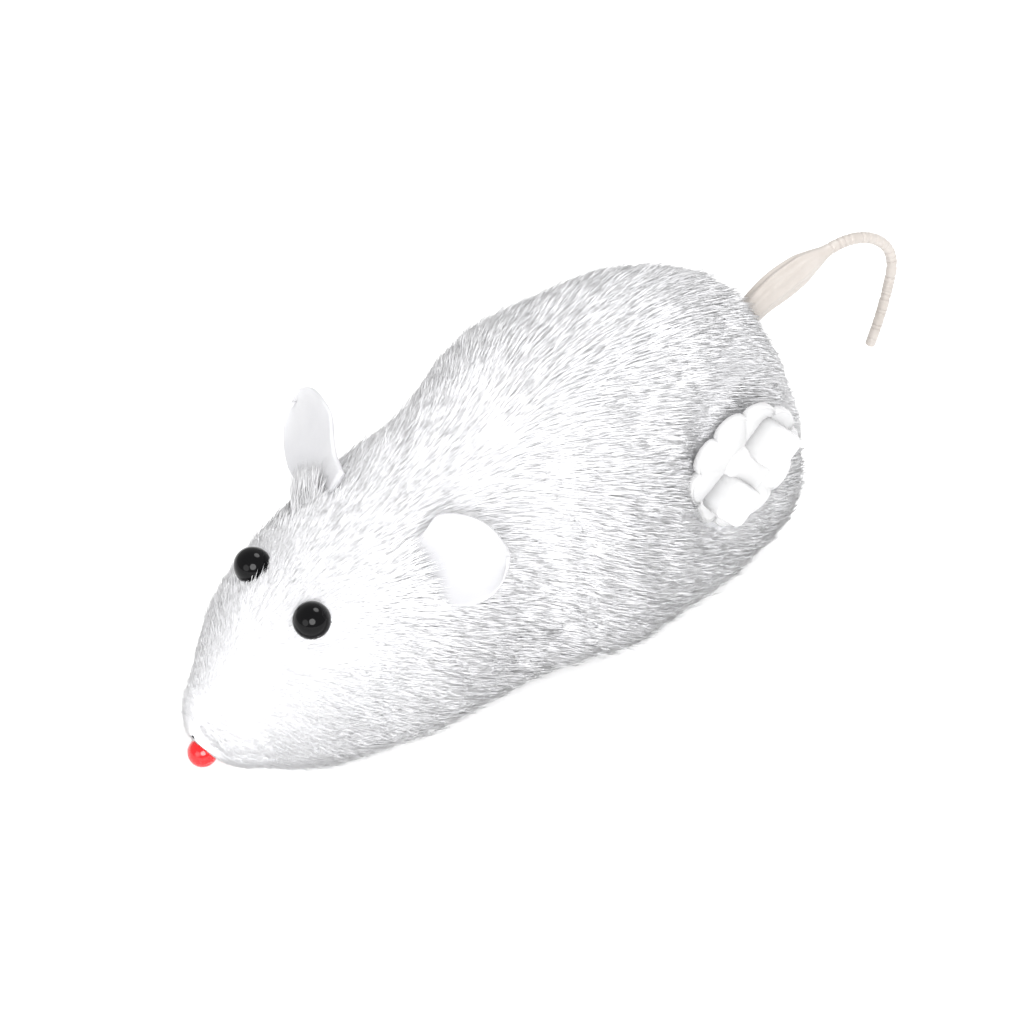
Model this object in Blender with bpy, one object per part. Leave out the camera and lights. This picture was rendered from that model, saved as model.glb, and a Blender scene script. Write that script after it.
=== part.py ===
"""Clockwork mouse: a plush wind-up toy with a spring motor, drawn piece by piece.

+X is the nose, +Y the side with the winding key, +Z up. The toy stands on z = 0.
Lengths are in metres. Every moving group hangs on an empty that sits on its axis.
"""

import math

import bmesh
import bpy
from mathutils import Euler, Matrix, Vector
from mathutils.geometry import delaunay_2d_cdt

MM = 0.001

# Gaps between pieces
TOUCH_GAP = 0.3 * MM
RUN_GAP = 0.05 * MM
PRESS_GAP = 0.03 * MM

# Body: overall size of the fur, and its shape as shares of that size
BODY_LENGTH = 110.0 * MM
BODY_WIDTH = 51.2 * MM
BODY_HEIGHT = 50.6 * MM
BODY_STATIONS = (
    # along from nose, half width, top, bottom
    (0.00, 0.156, 0.204, 0.110),
    (0.05, 0.330, 0.336, 0.050),
    (0.15, 0.652, 0.547, 0.020),
    (0.30, 0.824, 0.698, 0.016),
    (0.45, 0.844, 0.818, 0.016),
    (0.60, 1.000, 0.968, 0.016),
    (0.75, 0.938, 1.000, 0.016),
    (0.88, 0.777, 0.915, 0.030),
    (0.96, 0.539, 0.654, 0.060),
    (1.00, 0.078, 0.435, 0.217),
)
WIDEST_AT = 0.37
UPPER_FULLNESS = 2.2
LOWER_FULLNESS = 2.9
THINNEST_SHARE = 0.05
NOSE_ROUND = 3.0 * MM
RUMP_ROUND = 2.0 * MM
LOFT_RINGS = 18
LOFT_SIDES = 28
LOFT_CROWDING = 0.6
FUR_THICKNESS = 3.0 * MM
FUR_HEM_HEIGHT = 1.3 * MM
SHELL_GAP = 0.5 * MM
SHELL_WALL = 1.0 * MM
UNDERSIDE_TURN_Z = 2.5 * MM
UNDERSIDE_BLEND = 3.0 * MM

# Base plate
BASE_CLEARANCE = 3.0 * MM
BASE_THICKNESS = 1.2 * MM
BASE_FRONT_X = 41.0 * MM
BASE_REAR_X = -44.8 * MM
BASE_OUTLINE_STEPS = 14
WHEEL_SLOT_GAP = 0.4 * MM

# Gear train
MODULE = 0.6 * MM
WHEEL_TEETH = 32
PINION_TEETH = 10
CROWN_TEETH = 24
TAIL_PINION_TEETH = 8
TOOTH_SHARE = 0.42
ADDENDUM = 1.0
DEDENDUM = 1.25
PRESSURE_ANGLE = math.radians(20)

KEY_AXIS_X = -31.0 * MM
KEY_AXIS_Z = 30.5 * MM
DRIVE_AXIS_X = -27.0 * MM
DRIVE_RADIUS = 9.0 * MM

# Motor frame, as distances from the mid-plane
PLATE_INNER_Y = 7.0 * MM
PLATE_THICKNESS = 1.0 * MM
PLATE_MARGIN = 2.6 * MM
PILLAR_RADIUS = 1.25 * MM
PILLAR_SPIGOT_RADIUS = 0.7 * MM
PILLAR_FRONT = (-18.5 * MM, 39.5 * MM)
PILLAR_REAR = (-41.5 * MM, 19.5 * MM)
PLATE_REAR_CORNER = (-41.8 * MM, 26.6 * MM)
SPRING_POST_REACH = 11.8663 * MM
SPRING_POST_TURN = math.radians(61.8287)
FOOT_FRONT_X = -13.5 * MM
FOOT_REAR_X = -36.8 * MM
FOOT_LENGTH = 4.4 * MM
FOOT_HEIGHT = 3.6 * MM

# Where the pieces of the train sit across the frame
RATCHET_Y = (-6.7 * MM, -5.9 * MM)
GREAT_WHEEL_Y = (-5.6 * MM, -4.3 * MM)
CROWN_BACK_Y = -4.0 * MM
SECOND_PINION_Y = (-5.9 * MM, -4.0 * MM)
SECOND_WHEEL_Y = (0.2 * MM, 1.6 * MM)
DRIVE_PINION_Y = (-0.2 * MM, 2.0 * MM)
MAINSPRING_Y = (3.4 * MM, 6.6 * MM)

KEY_ARBOR_RADIUS = 1.25 * MM
SECOND_ARBOR_RADIUS = 0.9 * MM
DRIVE_AXLE_RADIUS = 1.0 * MM
ARBOR_END = 0.7 * MM

RATCHET_TEETH = 12
RATCHET_TIP_RADIUS = 4.2 * MM
RATCHET_ROOT_RADIUS = 3.3 * MM
CLICK_RIVET_AT = 7.2 * MM
CLICK_RIVET_RADIUS = 0.6 * MM
CLICK_EYE_RADIUS = 1.1 * MM
CLICK_THICKNESS = 0.5 * MM
CLICK_ANGLE = math.radians(60)
CLICK_SWEEP = math.radians(42)

SPRING_STRIP = 0.4 * MM
SPRING_INNER_RADIUS = 1.7 * MM
SPRING_OUTER_RADIUS = 9.9 * MM
SPRING_TURNS = 5.75
SPRING_STEPS = 14

CROWN_INNER_RADIUS = 6.3 * MM
CROWN_OUTER_RADIUS = 8.1 * MM

# Drive wheels
DRIVE_WHEEL_WIDTH = 2.0 * MM
DRIVE_HUB_RADIUS = 7.4 * MM
HUB_BOSS_RADIUS = 2.2 * MM
HUB_WEB_SHARE = 0.4
WHEEL_RIM_SHARE = 0.8

# Front wheels
FRONT_AXLE_X = 24.0 * MM
FRONT_RADIUS = 6.0 * MM
FRONT_WHEEL_WIDTH = 2.2 * MM
FRONT_WHEEL_INNER_Y = 6.8 * MM
FRONT_AXLE_RADIUS = 0.8 * MM
FRONT_BOSS_RADIUS = 1.5 * MM
BRACKET_Y = 4.6 * MM
BRACKET_WIDTH = 1.8 * MM
BRACKET_LENGTH = 5.0 * MM
BRACKET_HEIGHT = 3.4 * MM

# Key
KEY_STANDOFF = 0.5 * MM
KEY_DISC_THICKNESS = 1.6 * MM
KEY_DISC_RADIUS = 9.9 * MM
KEY_LOBES = 10
KEY_LOBE_DEPTH = 0.65 * MM
KEY_DISC_STEPS = 8
KEY_LUG_OFFSET = 5.0 * MM
KEY_LUG_LENGTH = 6.4 * MM
KEY_LUG_WIDTH = 7.4 * MM
KEY_LUG_CORNER = 1.5 * MM
KEY_LUG_HEIGHT = 3.4 * MM
KEY_LUG_ANGLE = math.radians(138)
KEY_BOSS_RADIUS = 4.2 * MM
KEY_BOSS_HEIGHT = 1.5 * MM
KEY_HUB_RADIUS = 2.6 * MM
KEY_POCKET_GAP = 0.6 * MM
KEY_HUB_CLEARANCE = 0.6 * MM
KEY_HUB_JOIN = 0.4
KEY_BORE_JOIN = 0.6

# Tail
TAIL_TILT = math.radians(14.65)
TAIL_RUNS = (
    # length of the run, turn over the run in degrees
    (7.0 * MM, -22.0),
    (10.5 * MM, -4.0),
    (14.0 * MM, -62.0),
    (7.0 * MM, -47.0),
    (13.3 * MM, -14.0),
)
TAIL_START_HEADING = math.radians(22.0)
TAIL_STEPS = 30
TAIL_SIDES = 10
TAIL_PROFILE = (
    # along the tail, half height, half width
    (0.0 * MM, 2.00 * MM, 2.00 * MM),
    (3.5 * MM, 2.60 * MM, 2.10 * MM),
    (8.0 * MM, 3.15 * MM, 2.20 * MM),
    (11.5 * MM, 3.00 * MM, 2.00 * MM),
    (14.5 * MM, 2.10 * MM, 1.50 * MM),
    (18.0 * MM, 1.00 * MM, 0.95 * MM),
    (21.0 * MM, 0.92 * MM, 0.92 * MM),
    (52.0 * MM, 0.82 * MM, 0.82 * MM),
)
TAIL_SHAFT_RADIUS = 1.0 * MM
TAIL_SPIGOT_RADIUS = 2.0 * MM
TAIL_SPIGOT_LENGTH = 6.0 * MM
TAIL_SOCKET_DEPTH = 5.0 * MM
TAIL_FUR_GAP = 1.4 * MM
TAIL_BUSH_WALL = 1.0 * MM
TAIL_BUSH_OVERHANG = 0.5 * MM
TAIL_BRACKET_AT = 10.6 * MM
TAIL_BRACKET_THICKNESS = 1.8 * MM
TAIL_BRACKET_NECK = 2.2 * MM
TAIL_BRACKET_TOP = 1.8 * MM
TAIL_BRACKET_ARM = (-7.6 * MM, -4.4 * MM)
TAIL_PINION_OVERHANG = 0.2 * MM

# Face
EYE_X = 37.4 * MM
EYE_Y = 7.5 * MM
EYE_RADIUS = 2.8 * MM
EYE_SINK = 0.2 * MM
SHANK_RADIUS = 0.8 * MM
SHANK_LENGTH = 5.2 * MM
NOSE_X = 52.6 * MM
NOSE_Z = 3.7 * MM
NOSE_RADIUS = 2.25 * MM
NOSE_DROOP = math.radians(-28)
NOSE_SHANK_LENGTH = 6.0 * MM

EARS = (
    # name, root's share of the length and of the width, its height over the fur, the way it points
    ("ear_left", 0.189091, 0.2265625, -0.6024 * MM, (-6.8, 12.8, 6.2)),
    ("ear_right", 0.186364, -0.234375, 0.8329 * MM, (-4.5, -14.1, 1.0)),
)
EAR_FACING = (0.87, 0.29, 0.40)
EAR_THICKNESS = 1.4 * MM
EAR_LENGTH = 15.2 * MM
EAR_WIDTH = 14.0 * MM
EAR_NECK_WIDTH = 12.2 * MM
EAR_NECK_LENGTH = 2.0 * MM
EAR_ROOT = 5.0 * MM
EAR_CUP = 1.1 * MM
EAR_STEPS = 12
EAR_COLUMNS = 8

# Screws and posts
SCREW_RADIUS = 0.9 * MM
SCREW_LENGTH = 6.4 * MM
SCREW_HEAD_RADIUS = 1.9 * MM
SCREW_HEAD_HEIGHT = 0.9 * MM
SCREW_HOLE_DEPTH = 7.0 * MM
POST_RADIUS = 2.1 * MM
POST_FRONT_X = 35.0 * MM
POST_REAR_X = -42.2 * MM
POST_REAR_TOP = 14.0 * MM
RIB_HALF_WIDTH = 1.0 * MM
RIB_BOTTOM = 9.5 * MM

# Helper cuts along an axis start and end at these shares of its reach
CUT_START_SHARE = 0.6
CUT_END_SHARE = 1.5
SHANK_CUT_SHARE = 0.9
WALL_SINK = 0.6

FILL_WITH_TRIANGLES = 0
FILL_PRECISION = 1e-4

ROUND_SIDES = 16
SMALL_SIDES = 12
WHEEL_SIDES = 24

# Worked out from the values above
DEEP = 60.0 * MM
FLOOR_CUT_Z = -10.0 * MM
BASE_TOP_Z = BASE_CLEARANCE + BASE_THICKNESS
SHELL_RIM_Z = BASE_TOP_Z + TOUCH_GAP
PLATE_OUTER_Y = PLATE_INNER_Y + PLATE_THICKNESS
SHELL_OUTSET = FUR_THICKNESS + SHELL_GAP
CAVITY_OUTSET = SHELL_OUTSET + SHELL_WALL
DRIVE_AXIS_Z = DRIVE_RADIUS
WHEEL_INNER_Y = PLATE_OUTER_Y + 2.0 * TOUCH_GAP
MESH_DISTANCE = 0.5 * MODULE * (WHEEL_TEETH + PINION_TEETH)
TAIL_PINION_RADIUS = 0.5 * MODULE * TAIL_PINION_TEETH


TURNING_AXES = {
    # axis of turning, and the direction the profile starts in
    "X": (Vector((1, 0, 0)), Vector((0, 0, 1))),
    "Y": (Vector((0, 1, 0)), Vector((0, 0, -1))),
    "Z": (Vector((0, 0, 1)), Vector((1, 0, 0))),
}


def clear_scene():
    for obj in list(bpy.data.objects):
        bpy.data.objects.remove(obj, do_unlink=True)


def finish(name, colour, roughness, metallic=0.0):
    """A plain material with one colour."""
    material = bpy.data.materials.get(name)
    if material:
        return material
    material = bpy.data.materials.new(name)
    material.use_nodes = True
    shader = material.node_tree.nodes["Principled BSDF"]
    shader.inputs["Base Color"].default_value = (*colour, 1.0)
    shader.inputs["Roughness"].default_value = roughness
    shader.inputs["Metallic"].default_value = metallic
    return material


def fur_white():
    return finish("white_plush", (0.90, 0.91, 0.93), 0.95)


def shell_plastic():
    return finish("grey_styrene", (0.62, 0.63, 0.65), 0.45)


def white_vinyl():
    return finish("white_vinyl", (0.88, 0.88, 0.86), 0.4)


def tail_vinyl():
    return finish("tail_vinyl", (0.86, 0.80, 0.76), 0.45)


def black_gloss():
    return finish("black_gloss", (0.01, 0.01, 0.01), 0.08)


def red_gloss():
    return finish("red_gloss", (0.70, 0.02, 0.02), 0.1)


def steel():
    return finish("steel", (0.60, 0.61, 0.63), 0.3, 1.0)


def spring_steel():
    return finish("blued_spring_steel", (0.16, 0.18, 0.24), 0.3, 1.0)


def brass():
    return finish("brass", (0.78, 0.62, 0.30), 0.3, 1.0)


def acetal():
    return finish("natural_acetal", (0.86, 0.86, 0.82), 0.35)


def rubber():
    return finish("black_rubber", (0.03, 0.03, 0.03), 0.8)


def add_object(name, bm, material, parent, smooth=False):
    """Put a finished bmesh in the scene as one named object."""
    bmesh.ops.recalc_face_normals(bm, faces=bm.faces[:])
    mesh = bpy.data.meshes.new(name)
    bm.to_mesh(mesh)
    bm.free()
    mesh.materials.append(material)
    if smooth:
        mesh.shade_smooth()
        mesh.set_sharp_from_angle(angle=math.radians(35))
    obj = bpy.data.objects.new(name, mesh)
    bpy.context.scene.collection.objects.link(obj)
    obj.parent = parent
    return obj


def add_pivot(name, parent, location=(0, 0, 0), rotation=(0, 0, 0)):
    """An empty that carries one group of pieces."""
    pivot = bpy.data.objects.new(name, None)
    bpy.context.scene.collection.objects.link(pivot)
    pivot.parent = parent
    pivot.location = location
    pivot.rotation_euler = rotation
    return pivot


def add_boolean(obj, cutter, operation="DIFFERENCE"):
    """Cut or join with a helper object that isn't part of the toy."""
    cutter.hide_render = True
    cutter.display_type = "WIRE"
    modifier = obj.modifiers.new(cutter.name, "BOOLEAN")
    modifier.operation = operation
    modifier.solver = "EXACT"
    modifier.object = cutter


def xz_plane(a, b, along):
    return Vector((a, along, b))


def xy_plane(a, b, along):
    return Vector((a, b, along))


def yz_plane(a, b, along):
    return Vector((along, a, b))


def circle(radius, sides, centre=(0.0, 0.0), phase=0.0):
    """Corners of a regular polygon whose corners lie on the radius."""
    return [
        (
            centre[0] + radius * math.cos(phase + math.tau * i / sides),
            centre[1] + radius * math.sin(phase + math.tau * i / sides),
        )
        for i in range(sides)
    ]


def bore(radius, sides=ROUND_SIDES, centre=(0.0, 0.0)):
    """A hole whose flats stay clear of the radius."""
    return circle(radius / math.cos(math.pi / sides), sides, centre)


def rounded_box(half_a, half_b, corner, centre=(0.0, 0.0), steps=4):
    """A rectangle with round corners, centred on a point."""
    points = []
    for quarter, (sign_a, sign_b) in enumerate(((1, 1), (-1, 1), (-1, -1), (1, -1))):
        middle_a = centre[0] + sign_a * (half_a - corner)
        middle_b = centre[1] + sign_b * (half_b - corner)
        for i in range(steps + 1):
            turn = math.pi / 2 * (quarter + i / steps)
            points.append((middle_a + corner * math.cos(turn), middle_b + corner * math.sin(turn)))
    return points


def box_loop(low_a, high_a, low_b, high_b):
    return [(low_a, low_b), (high_a, low_b), (high_a, high_b), (low_a, high_b)]


def belt_loop(points, radius, steps=8):
    """Outline of a belt pulled round equal discs on a convex ring of points."""
    outline = []
    count = len(points)
    for i, point in enumerate(points):
        before = Vector(point) - Vector(points[i - 1])
        after = Vector(points[(i + 1) % count]) - Vector(point)
        start = math.atan2(-before.x, before.y)
        turn = abs(before.angle_signed(after))
        for k in range(steps + 1):
            angle = start + turn * k / steps
            outline.append((point[0] + radius * math.cos(angle), point[1] + radius * math.sin(angle)))
    return outline


def is_within(point, loop):
    """Whether a point of the plane lies inside a closed outline."""
    crossings = 0
    for i, (a, b) in enumerate(loop):
        before_a, before_b = loop[i - 1]
        if (b > point.y) != (before_b > point.y):
            if point.x < a + (before_a - a) * (point.y - b) / (before_b - b):
                crossings += 1
    return crossings % 2 == 1


def prism(loops, low, high, plane):
    """A flat outline with holes, drawn out from low to high."""
    corners = [Vector(corner) / MM for loop in loops for corner in loop]
    edges = []
    first = 0
    for loop in loops:
        count = len(loop)
        edges += [(first + i, first + (i + 1) % count) for i in range(count)]
        first += count
    filled = delaunay_2d_cdt(corners, edges, [], FILL_WITH_TRIANGLES, FILL_PRECISION, False)
    points, faces = filled[0], filled[2]
    bm = bmesh.new()
    verts = [bm.verts.new(plane(point.x * MM, point.y * MM, low)) for point in points]
    for face in faces:
        middle = sum((points[i] for i in face), Vector((0, 0))) * MM / len(face)
        if sum(is_within(middle, loop) for loop in loops) % 2:
            bm.faces.new([verts[i] for i in face])
    loose = [vert for vert in bm.verts if not vert.link_faces]
    bmesh.ops.delete(bm, geom=loose, context="VERTS")
    drawn = bmesh.ops.extrude_face_region(bm, geom=bm.faces[:])
    moved = [part for part in drawn["geom"] if isinstance(part, bmesh.types.BMVert)]
    bmesh.ops.translate(bm, verts=moved, vec=plane(0, 0, high) - plane(0, 0, low))
    return bm


def turned(profile, sides, axis="Y", hollow=False):
    """Turn a profile of (radius, along) points about an axis."""
    direction, outward = TURNING_AXES[axis]
    bm = bmesh.new()
    verts = [bm.verts.new(outward * radius + direction * along) for radius, along in profile]
    pairs = list(zip(verts[:-1], verts[1:]))
    if hollow:
        pairs.append((verts[-1], verts[0]))
    edges = [bm.edges.new(pair) for pair in pairs]
    bmesh.ops.spin(
        bm,
        geom=verts + edges,
        cent=(0, 0, 0),
        axis=direction,
        angle=math.tau,
        steps=sides,
        use_merge=True,
    )
    bmesh.ops.remove_doubles(bm, verts=bm.verts[:], dist=0.001 * MM)
    return bm


def rod(radius, low, high, sides=ROUND_SIDES, axis="Y"):
    return turned([(0, low), (radius, low), (radius, high), (0, high)], sides, axis)


def ring(inner, outer, low, high, sides=ROUND_SIDES, axis="Y"):
    clear_inner = inner / math.cos(math.pi / sides)
    profile = [(clear_inner, low), (outer, low), (outer, high), (clear_inner, high)]
    return turned(profile, sides, axis, hollow=True)


def skin(rings):
    """Stretch faces over a row of rings and close both ends."""
    bm = bmesh.new()
    rows = [[bm.verts.new(point) for point in points] for points in rings]
    for row, after in zip(rows[:-1], rows[1:]):
        count = len(row)
        for i in range(count):
            k = (i + 1) % count
            bm.faces.new((row[i], row[k], after[k], after[i]))
    for row in (rows[0], rows[-1]):
        middle = sum((vert.co for vert in row), Vector()) / len(row)
        tip = bm.verts.new(middle)
        for i in range(len(row)):
            bm.faces.new((row[i], row[(i + 1) % len(row)], tip))
    return bm


def merge_into(bm, other):
    """Add another bmesh's shape to this one."""
    mesh = bpy.data.meshes.new("scratch")
    other.to_mesh(mesh)
    other.free()
    bm.from_mesh(mesh)
    bpy.data.meshes.remove(mesh)


def monotone_curve(knots, at):
    """Smooth curve through (place, value) knots that never overshoots them."""
    places = [knot[0] for knot in knots]
    values = [knot[1] for knot in knots]
    slopes = [(values[i + 1] - values[i]) / (places[i + 1] - places[i]) for i in range(len(knots) - 1)]
    tangents = [slopes[0]]
    for before, after in zip(slopes[:-1], slopes[1:]):
        tangents.append(0.0 if before * after <= 0 else 2 * before * after / (before + after))
    tangents.append(slopes[-1])
    at = min(max(at, places[0]), places[-1])
    i = 0
    while i < len(knots) - 2 and at > places[i + 1]:
        i += 1
    span = places[i + 1] - places[i]
    t = (at - places[i]) / span
    return (
        values[i] * (1 + 2 * t) * (1 - t) ** 2
        + values[i + 1] * t * t * (3 - 2 * t)
        + tangents[i] * span * t * (1 - t) ** 2
        - tangents[i + 1] * span * t * t * (1 - t)
    )


def body_section(x, inset):
    """Half width, top and bottom of the body at x, drawn in by the inset."""
    reach = 0.5 * BODY_LENGTH - inset
    share = 0.5 - x / BODY_LENGTH
    half = monotone_curve([(s[0], s[1]) for s in BODY_STATIONS], share) * 0.5 * BODY_WIDTH
    top = monotone_curve([(s[0], s[2]) for s in BODY_STATIONS], share) * BODY_HEIGHT
    bottom = monotone_curve([(s[0], s[3]) for s in BODY_STATIONS], share) * BODY_HEIGHT
    half = max(half - inset, THINNEST_SHARE * half)
    bottom += inset * min(1.0, max(0.0, (bottom - UNDERSIDE_TURN_Z) / UNDERSIDE_BLEND))
    top = max(top - inset, bottom + THINNEST_SHARE * (top - bottom))
    ends = 1.0
    for distance, length in ((reach - x, NOSE_ROUND), (x + reach, RUMP_ROUND)):
        if distance < length:
            ends = math.sqrt(max(0.0, 1 - (1 - max(0.0, distance) / length) ** 2))
    middle = bottom + WIDEST_AT * (top - bottom)
    return half * ends, middle + (top - middle) * ends, middle + (bottom - middle) * ends


def section_point(x, angle, inset):
    """A point on the body's skin, with the angle measured from +Y to the top."""
    half, top, bottom = body_section(x, inset)
    middle = bottom + WIDEST_AT * (top - bottom)
    across, up = math.cos(angle), math.sin(angle)
    power = 2 / (UPPER_FULLNESS if up >= 0 else LOWER_FULLNESS)
    y = half * math.copysign(abs(across) ** power, across)
    if up >= 0:
        return Vector((x, y, middle + (top - middle) * up**power))
    return Vector((x, y, middle - (middle - bottom) * (-up) ** power))


def inside_body(point, inset):
    """Whether a point lies within the body drawn in by the inset."""
    reach = 0.5 * BODY_LENGTH - inset
    if abs(point.x) >= reach:
        return False
    half, top, bottom = body_section(point.x, inset)
    if not bottom < point.z < top:
        return False
    return abs(point.y) < half_width_at(point.x, point.z, inset)


def half_width_at(x, z, inset):
    """Half the body's width at one place along it and one height."""
    half, top, bottom = body_section(x, inset)
    middle = bottom + WIDEST_AT * (top - bottom)
    if z >= middle:
        share, power = (z - middle) / (top - middle), UPPER_FULLNESS
    else:
        share, power = (middle - z) / (middle - bottom), LOWER_FULLNESS
    return half * max(0.0, 1 - min(1.0, share) ** power) ** (1 / power)


def height_at(x, y, inset):
    """Height of the body's back over a point."""
    half, top, bottom = body_section(x, inset)
    middle = bottom + WIDEST_AT * (top - bottom)
    return middle + (top - middle) * max(0.0, 1 - (abs(y) / half) ** UPPER_FULLNESS) ** (1 / UPPER_FULLNESS)


def outward_at(x, y):
    """The direction straight out of the fur over a point."""
    step = 0.5 * MM
    along = (height_at(x + step, y, 0) - height_at(x - step, y, 0)) / (2 * step)
    across = (height_at(x, y + step, 0) - height_at(x, y - step, 0)) / (2 * step)
    return Vector((-along, -across, 1)).normalized()


def distance_to_skin(origin, direction, inset):
    """How far a line from inside the body runs before it leaves it."""
    low, high = 0.0, DEEP
    for _ in range(40):
        middle = 0.5 * (low + high)
        if inside_body(origin + direction * middle, inset):
            low = middle
        else:
            high = middle
    return low


def body_loft(inset, floor_z=0.0):
    """The egg-shaped body as one closed solid, drawn in by the inset, flat at the floor."""
    reach = 0.5 * BODY_LENGTH - inset
    places = []
    for turn in (0.25, 0.5, 0.75, 1.0):
        places.append(reach - NOSE_ROUND * (1 - math.cos(0.5 * math.pi * turn)))
    start, end = reach - NOSE_ROUND, -reach + RUMP_ROUND
    for i in range(1, LOFT_RINGS):
        share = i / LOFT_RINGS
        eased = share - LOFT_CROWDING * math.sin(math.tau * share) / math.tau
        places.append(start + (end - start) * eased)
    for turn in (1.0, 0.75, 0.5, 0.25):
        places.append(-reach + RUMP_ROUND * (1 - math.cos(0.5 * math.pi * turn)))
    rings = [
        [section_point(x, math.tau * k / LOFT_SIDES, inset) for k in range(LOFT_SIDES)]
        for x in places
    ]
    for points in rings:
        for point in points:
            point.z = max(point.z, floor_z)
    return skin(rings)


def base_outline(inset):
    """Plan of the base plate: the body's own plan at the plate's height."""
    points = []
    for i in range(BASE_OUTLINE_STEPS + 1):
        x = BASE_FRONT_X + (BASE_REAR_X - BASE_FRONT_X) * i / BASE_OUTLINE_STEPS
        points.append((x, half_width_at(x, BASE_CLEARANCE, inset)))
    return points + [(x, -y) for x, y in reversed(points)]


def gear_loop(teeth, phase):
    """Outline of a gear with one tooth centred on the phase angle."""
    pitch_radius = 0.5 * MODULE * teeth
    root_radius = pitch_radius - DEDENDUM * MODULE
    tip_radius = pitch_radius + ADDENDUM * MODULE
    half_pitch_tooth = 0.5 * TOOTH_SHARE * math.pi * MODULE
    half_tip_tooth = half_pitch_tooth - ADDENDUM * MODULE * math.tan(PRESSURE_ANGLE)
    flank = half_pitch_tooth / pitch_radius
    outline = []
    for i in range(teeth):
        middle = phase + math.tau * i / teeth
        corners = (
            (root_radius, -flank),
            (pitch_radius, -flank),
            (tip_radius, -half_tip_tooth / tip_radius),
            (tip_radius, half_tip_tooth / tip_radius),
            (pitch_radius, flank),
            (root_radius, flank),
        )
        for radius, offset in corners:
            outline.append((radius * math.cos(middle + offset), radius * math.sin(middle + offset)))
    return outline


def train_layout():
    """Centres of the key, second and drive arbors, and the two mesh directions."""
    key = Vector((KEY_AXIS_X, KEY_AXIS_Z))
    drive = Vector((DRIVE_AXIS_X, DRIVE_AXIS_Z))
    line = drive - key
    sideways = math.sqrt(MESH_DISTANCE**2 - 0.25 * line.length_squared)
    across = Vector((-line.y, line.x)).normalized()
    second = 0.5 * (key + drive) + across * sideways
    key_to_second = math.atan2(second.y - key.y, second.x - key.x)
    second_to_drive = math.atan2(drive.y - second.y, drive.x - second.x)
    return key, second, drive, key_to_second, second_to_drive


def tail_frame():
    """Direction of the tail's axis, and how far along it the fur is left."""
    direction = Vector((-math.cos(TAIL_TILT), 0, math.sin(TAIL_TILT)))
    origin = Vector((KEY_AXIS_X, 0, KEY_AXIS_Z))
    return origin, direction, distance_to_skin(origin, direction, 0)


def add_gear(name, teeth, phase, span, bore_radius, material, parent):
    loops = [gear_loop(teeth, phase), bore(bore_radius, SMALL_SIDES)]
    return add_object(name, prism(loops, span[0], span[1], xz_plane), material, parent)


def build_key_group(key_pivot, lug_top_y):
    disc_back_y = lug_top_y - KEY_LUG_HEIGHT - KEY_DISC_THICKNESS
    arbor_profile = [
        (0, -PLATE_OUTER_Y - ARBOR_END),
        (KEY_ARBOR_RADIUS, -PLATE_OUTER_Y - ARBOR_END),
        (KEY_ARBOR_RADIUS, disc_back_y + 0.6 * KEY_DISC_THICKNESS),
        (0, disc_back_y + 0.6 * KEY_DISC_THICKNESS),
    ]
    add_object("key_arbor", turned(arbor_profile, ROUND_SIDES), steel(), key_pivot, smooth=True)
    build_key(key_pivot, disc_back_y)
    teeth = []
    for i in range(RATCHET_TEETH):
        angle = math.tau * i / RATCHET_TEETH
        after = math.tau * (i + 0.85) / RATCHET_TEETH
        teeth.append((RATCHET_TIP_RADIUS * math.cos(angle), RATCHET_TIP_RADIUS * math.sin(angle)))
        teeth.append((RATCHET_ROOT_RADIUS * math.cos(after), RATCHET_ROOT_RADIUS * math.sin(after)))
    loops = [teeth, bore(KEY_ARBOR_RADIUS + PRESS_GAP, SMALL_SIDES)]
    add_object("ratchet_wheel", prism(loops, *RATCHET_Y, xz_plane), steel(), key_pivot)


def key_disc_loop():
    """The scalloped edge of the key: a ring of round lobes."""
    points = []
    count = KEY_LOBES * KEY_DISC_STEPS
    for i in range(count):
        angle = math.tau * i / count
        lobe = abs(math.cos(0.5 * KEY_LOBES * angle))
        radius = KEY_DISC_RADIUS - KEY_LOBE_DEPTH + 2 * KEY_LOBE_DEPTH * math.sqrt(lobe)
        points.append((radius * math.cos(angle), radius * math.sin(angle)))
    return points


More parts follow.
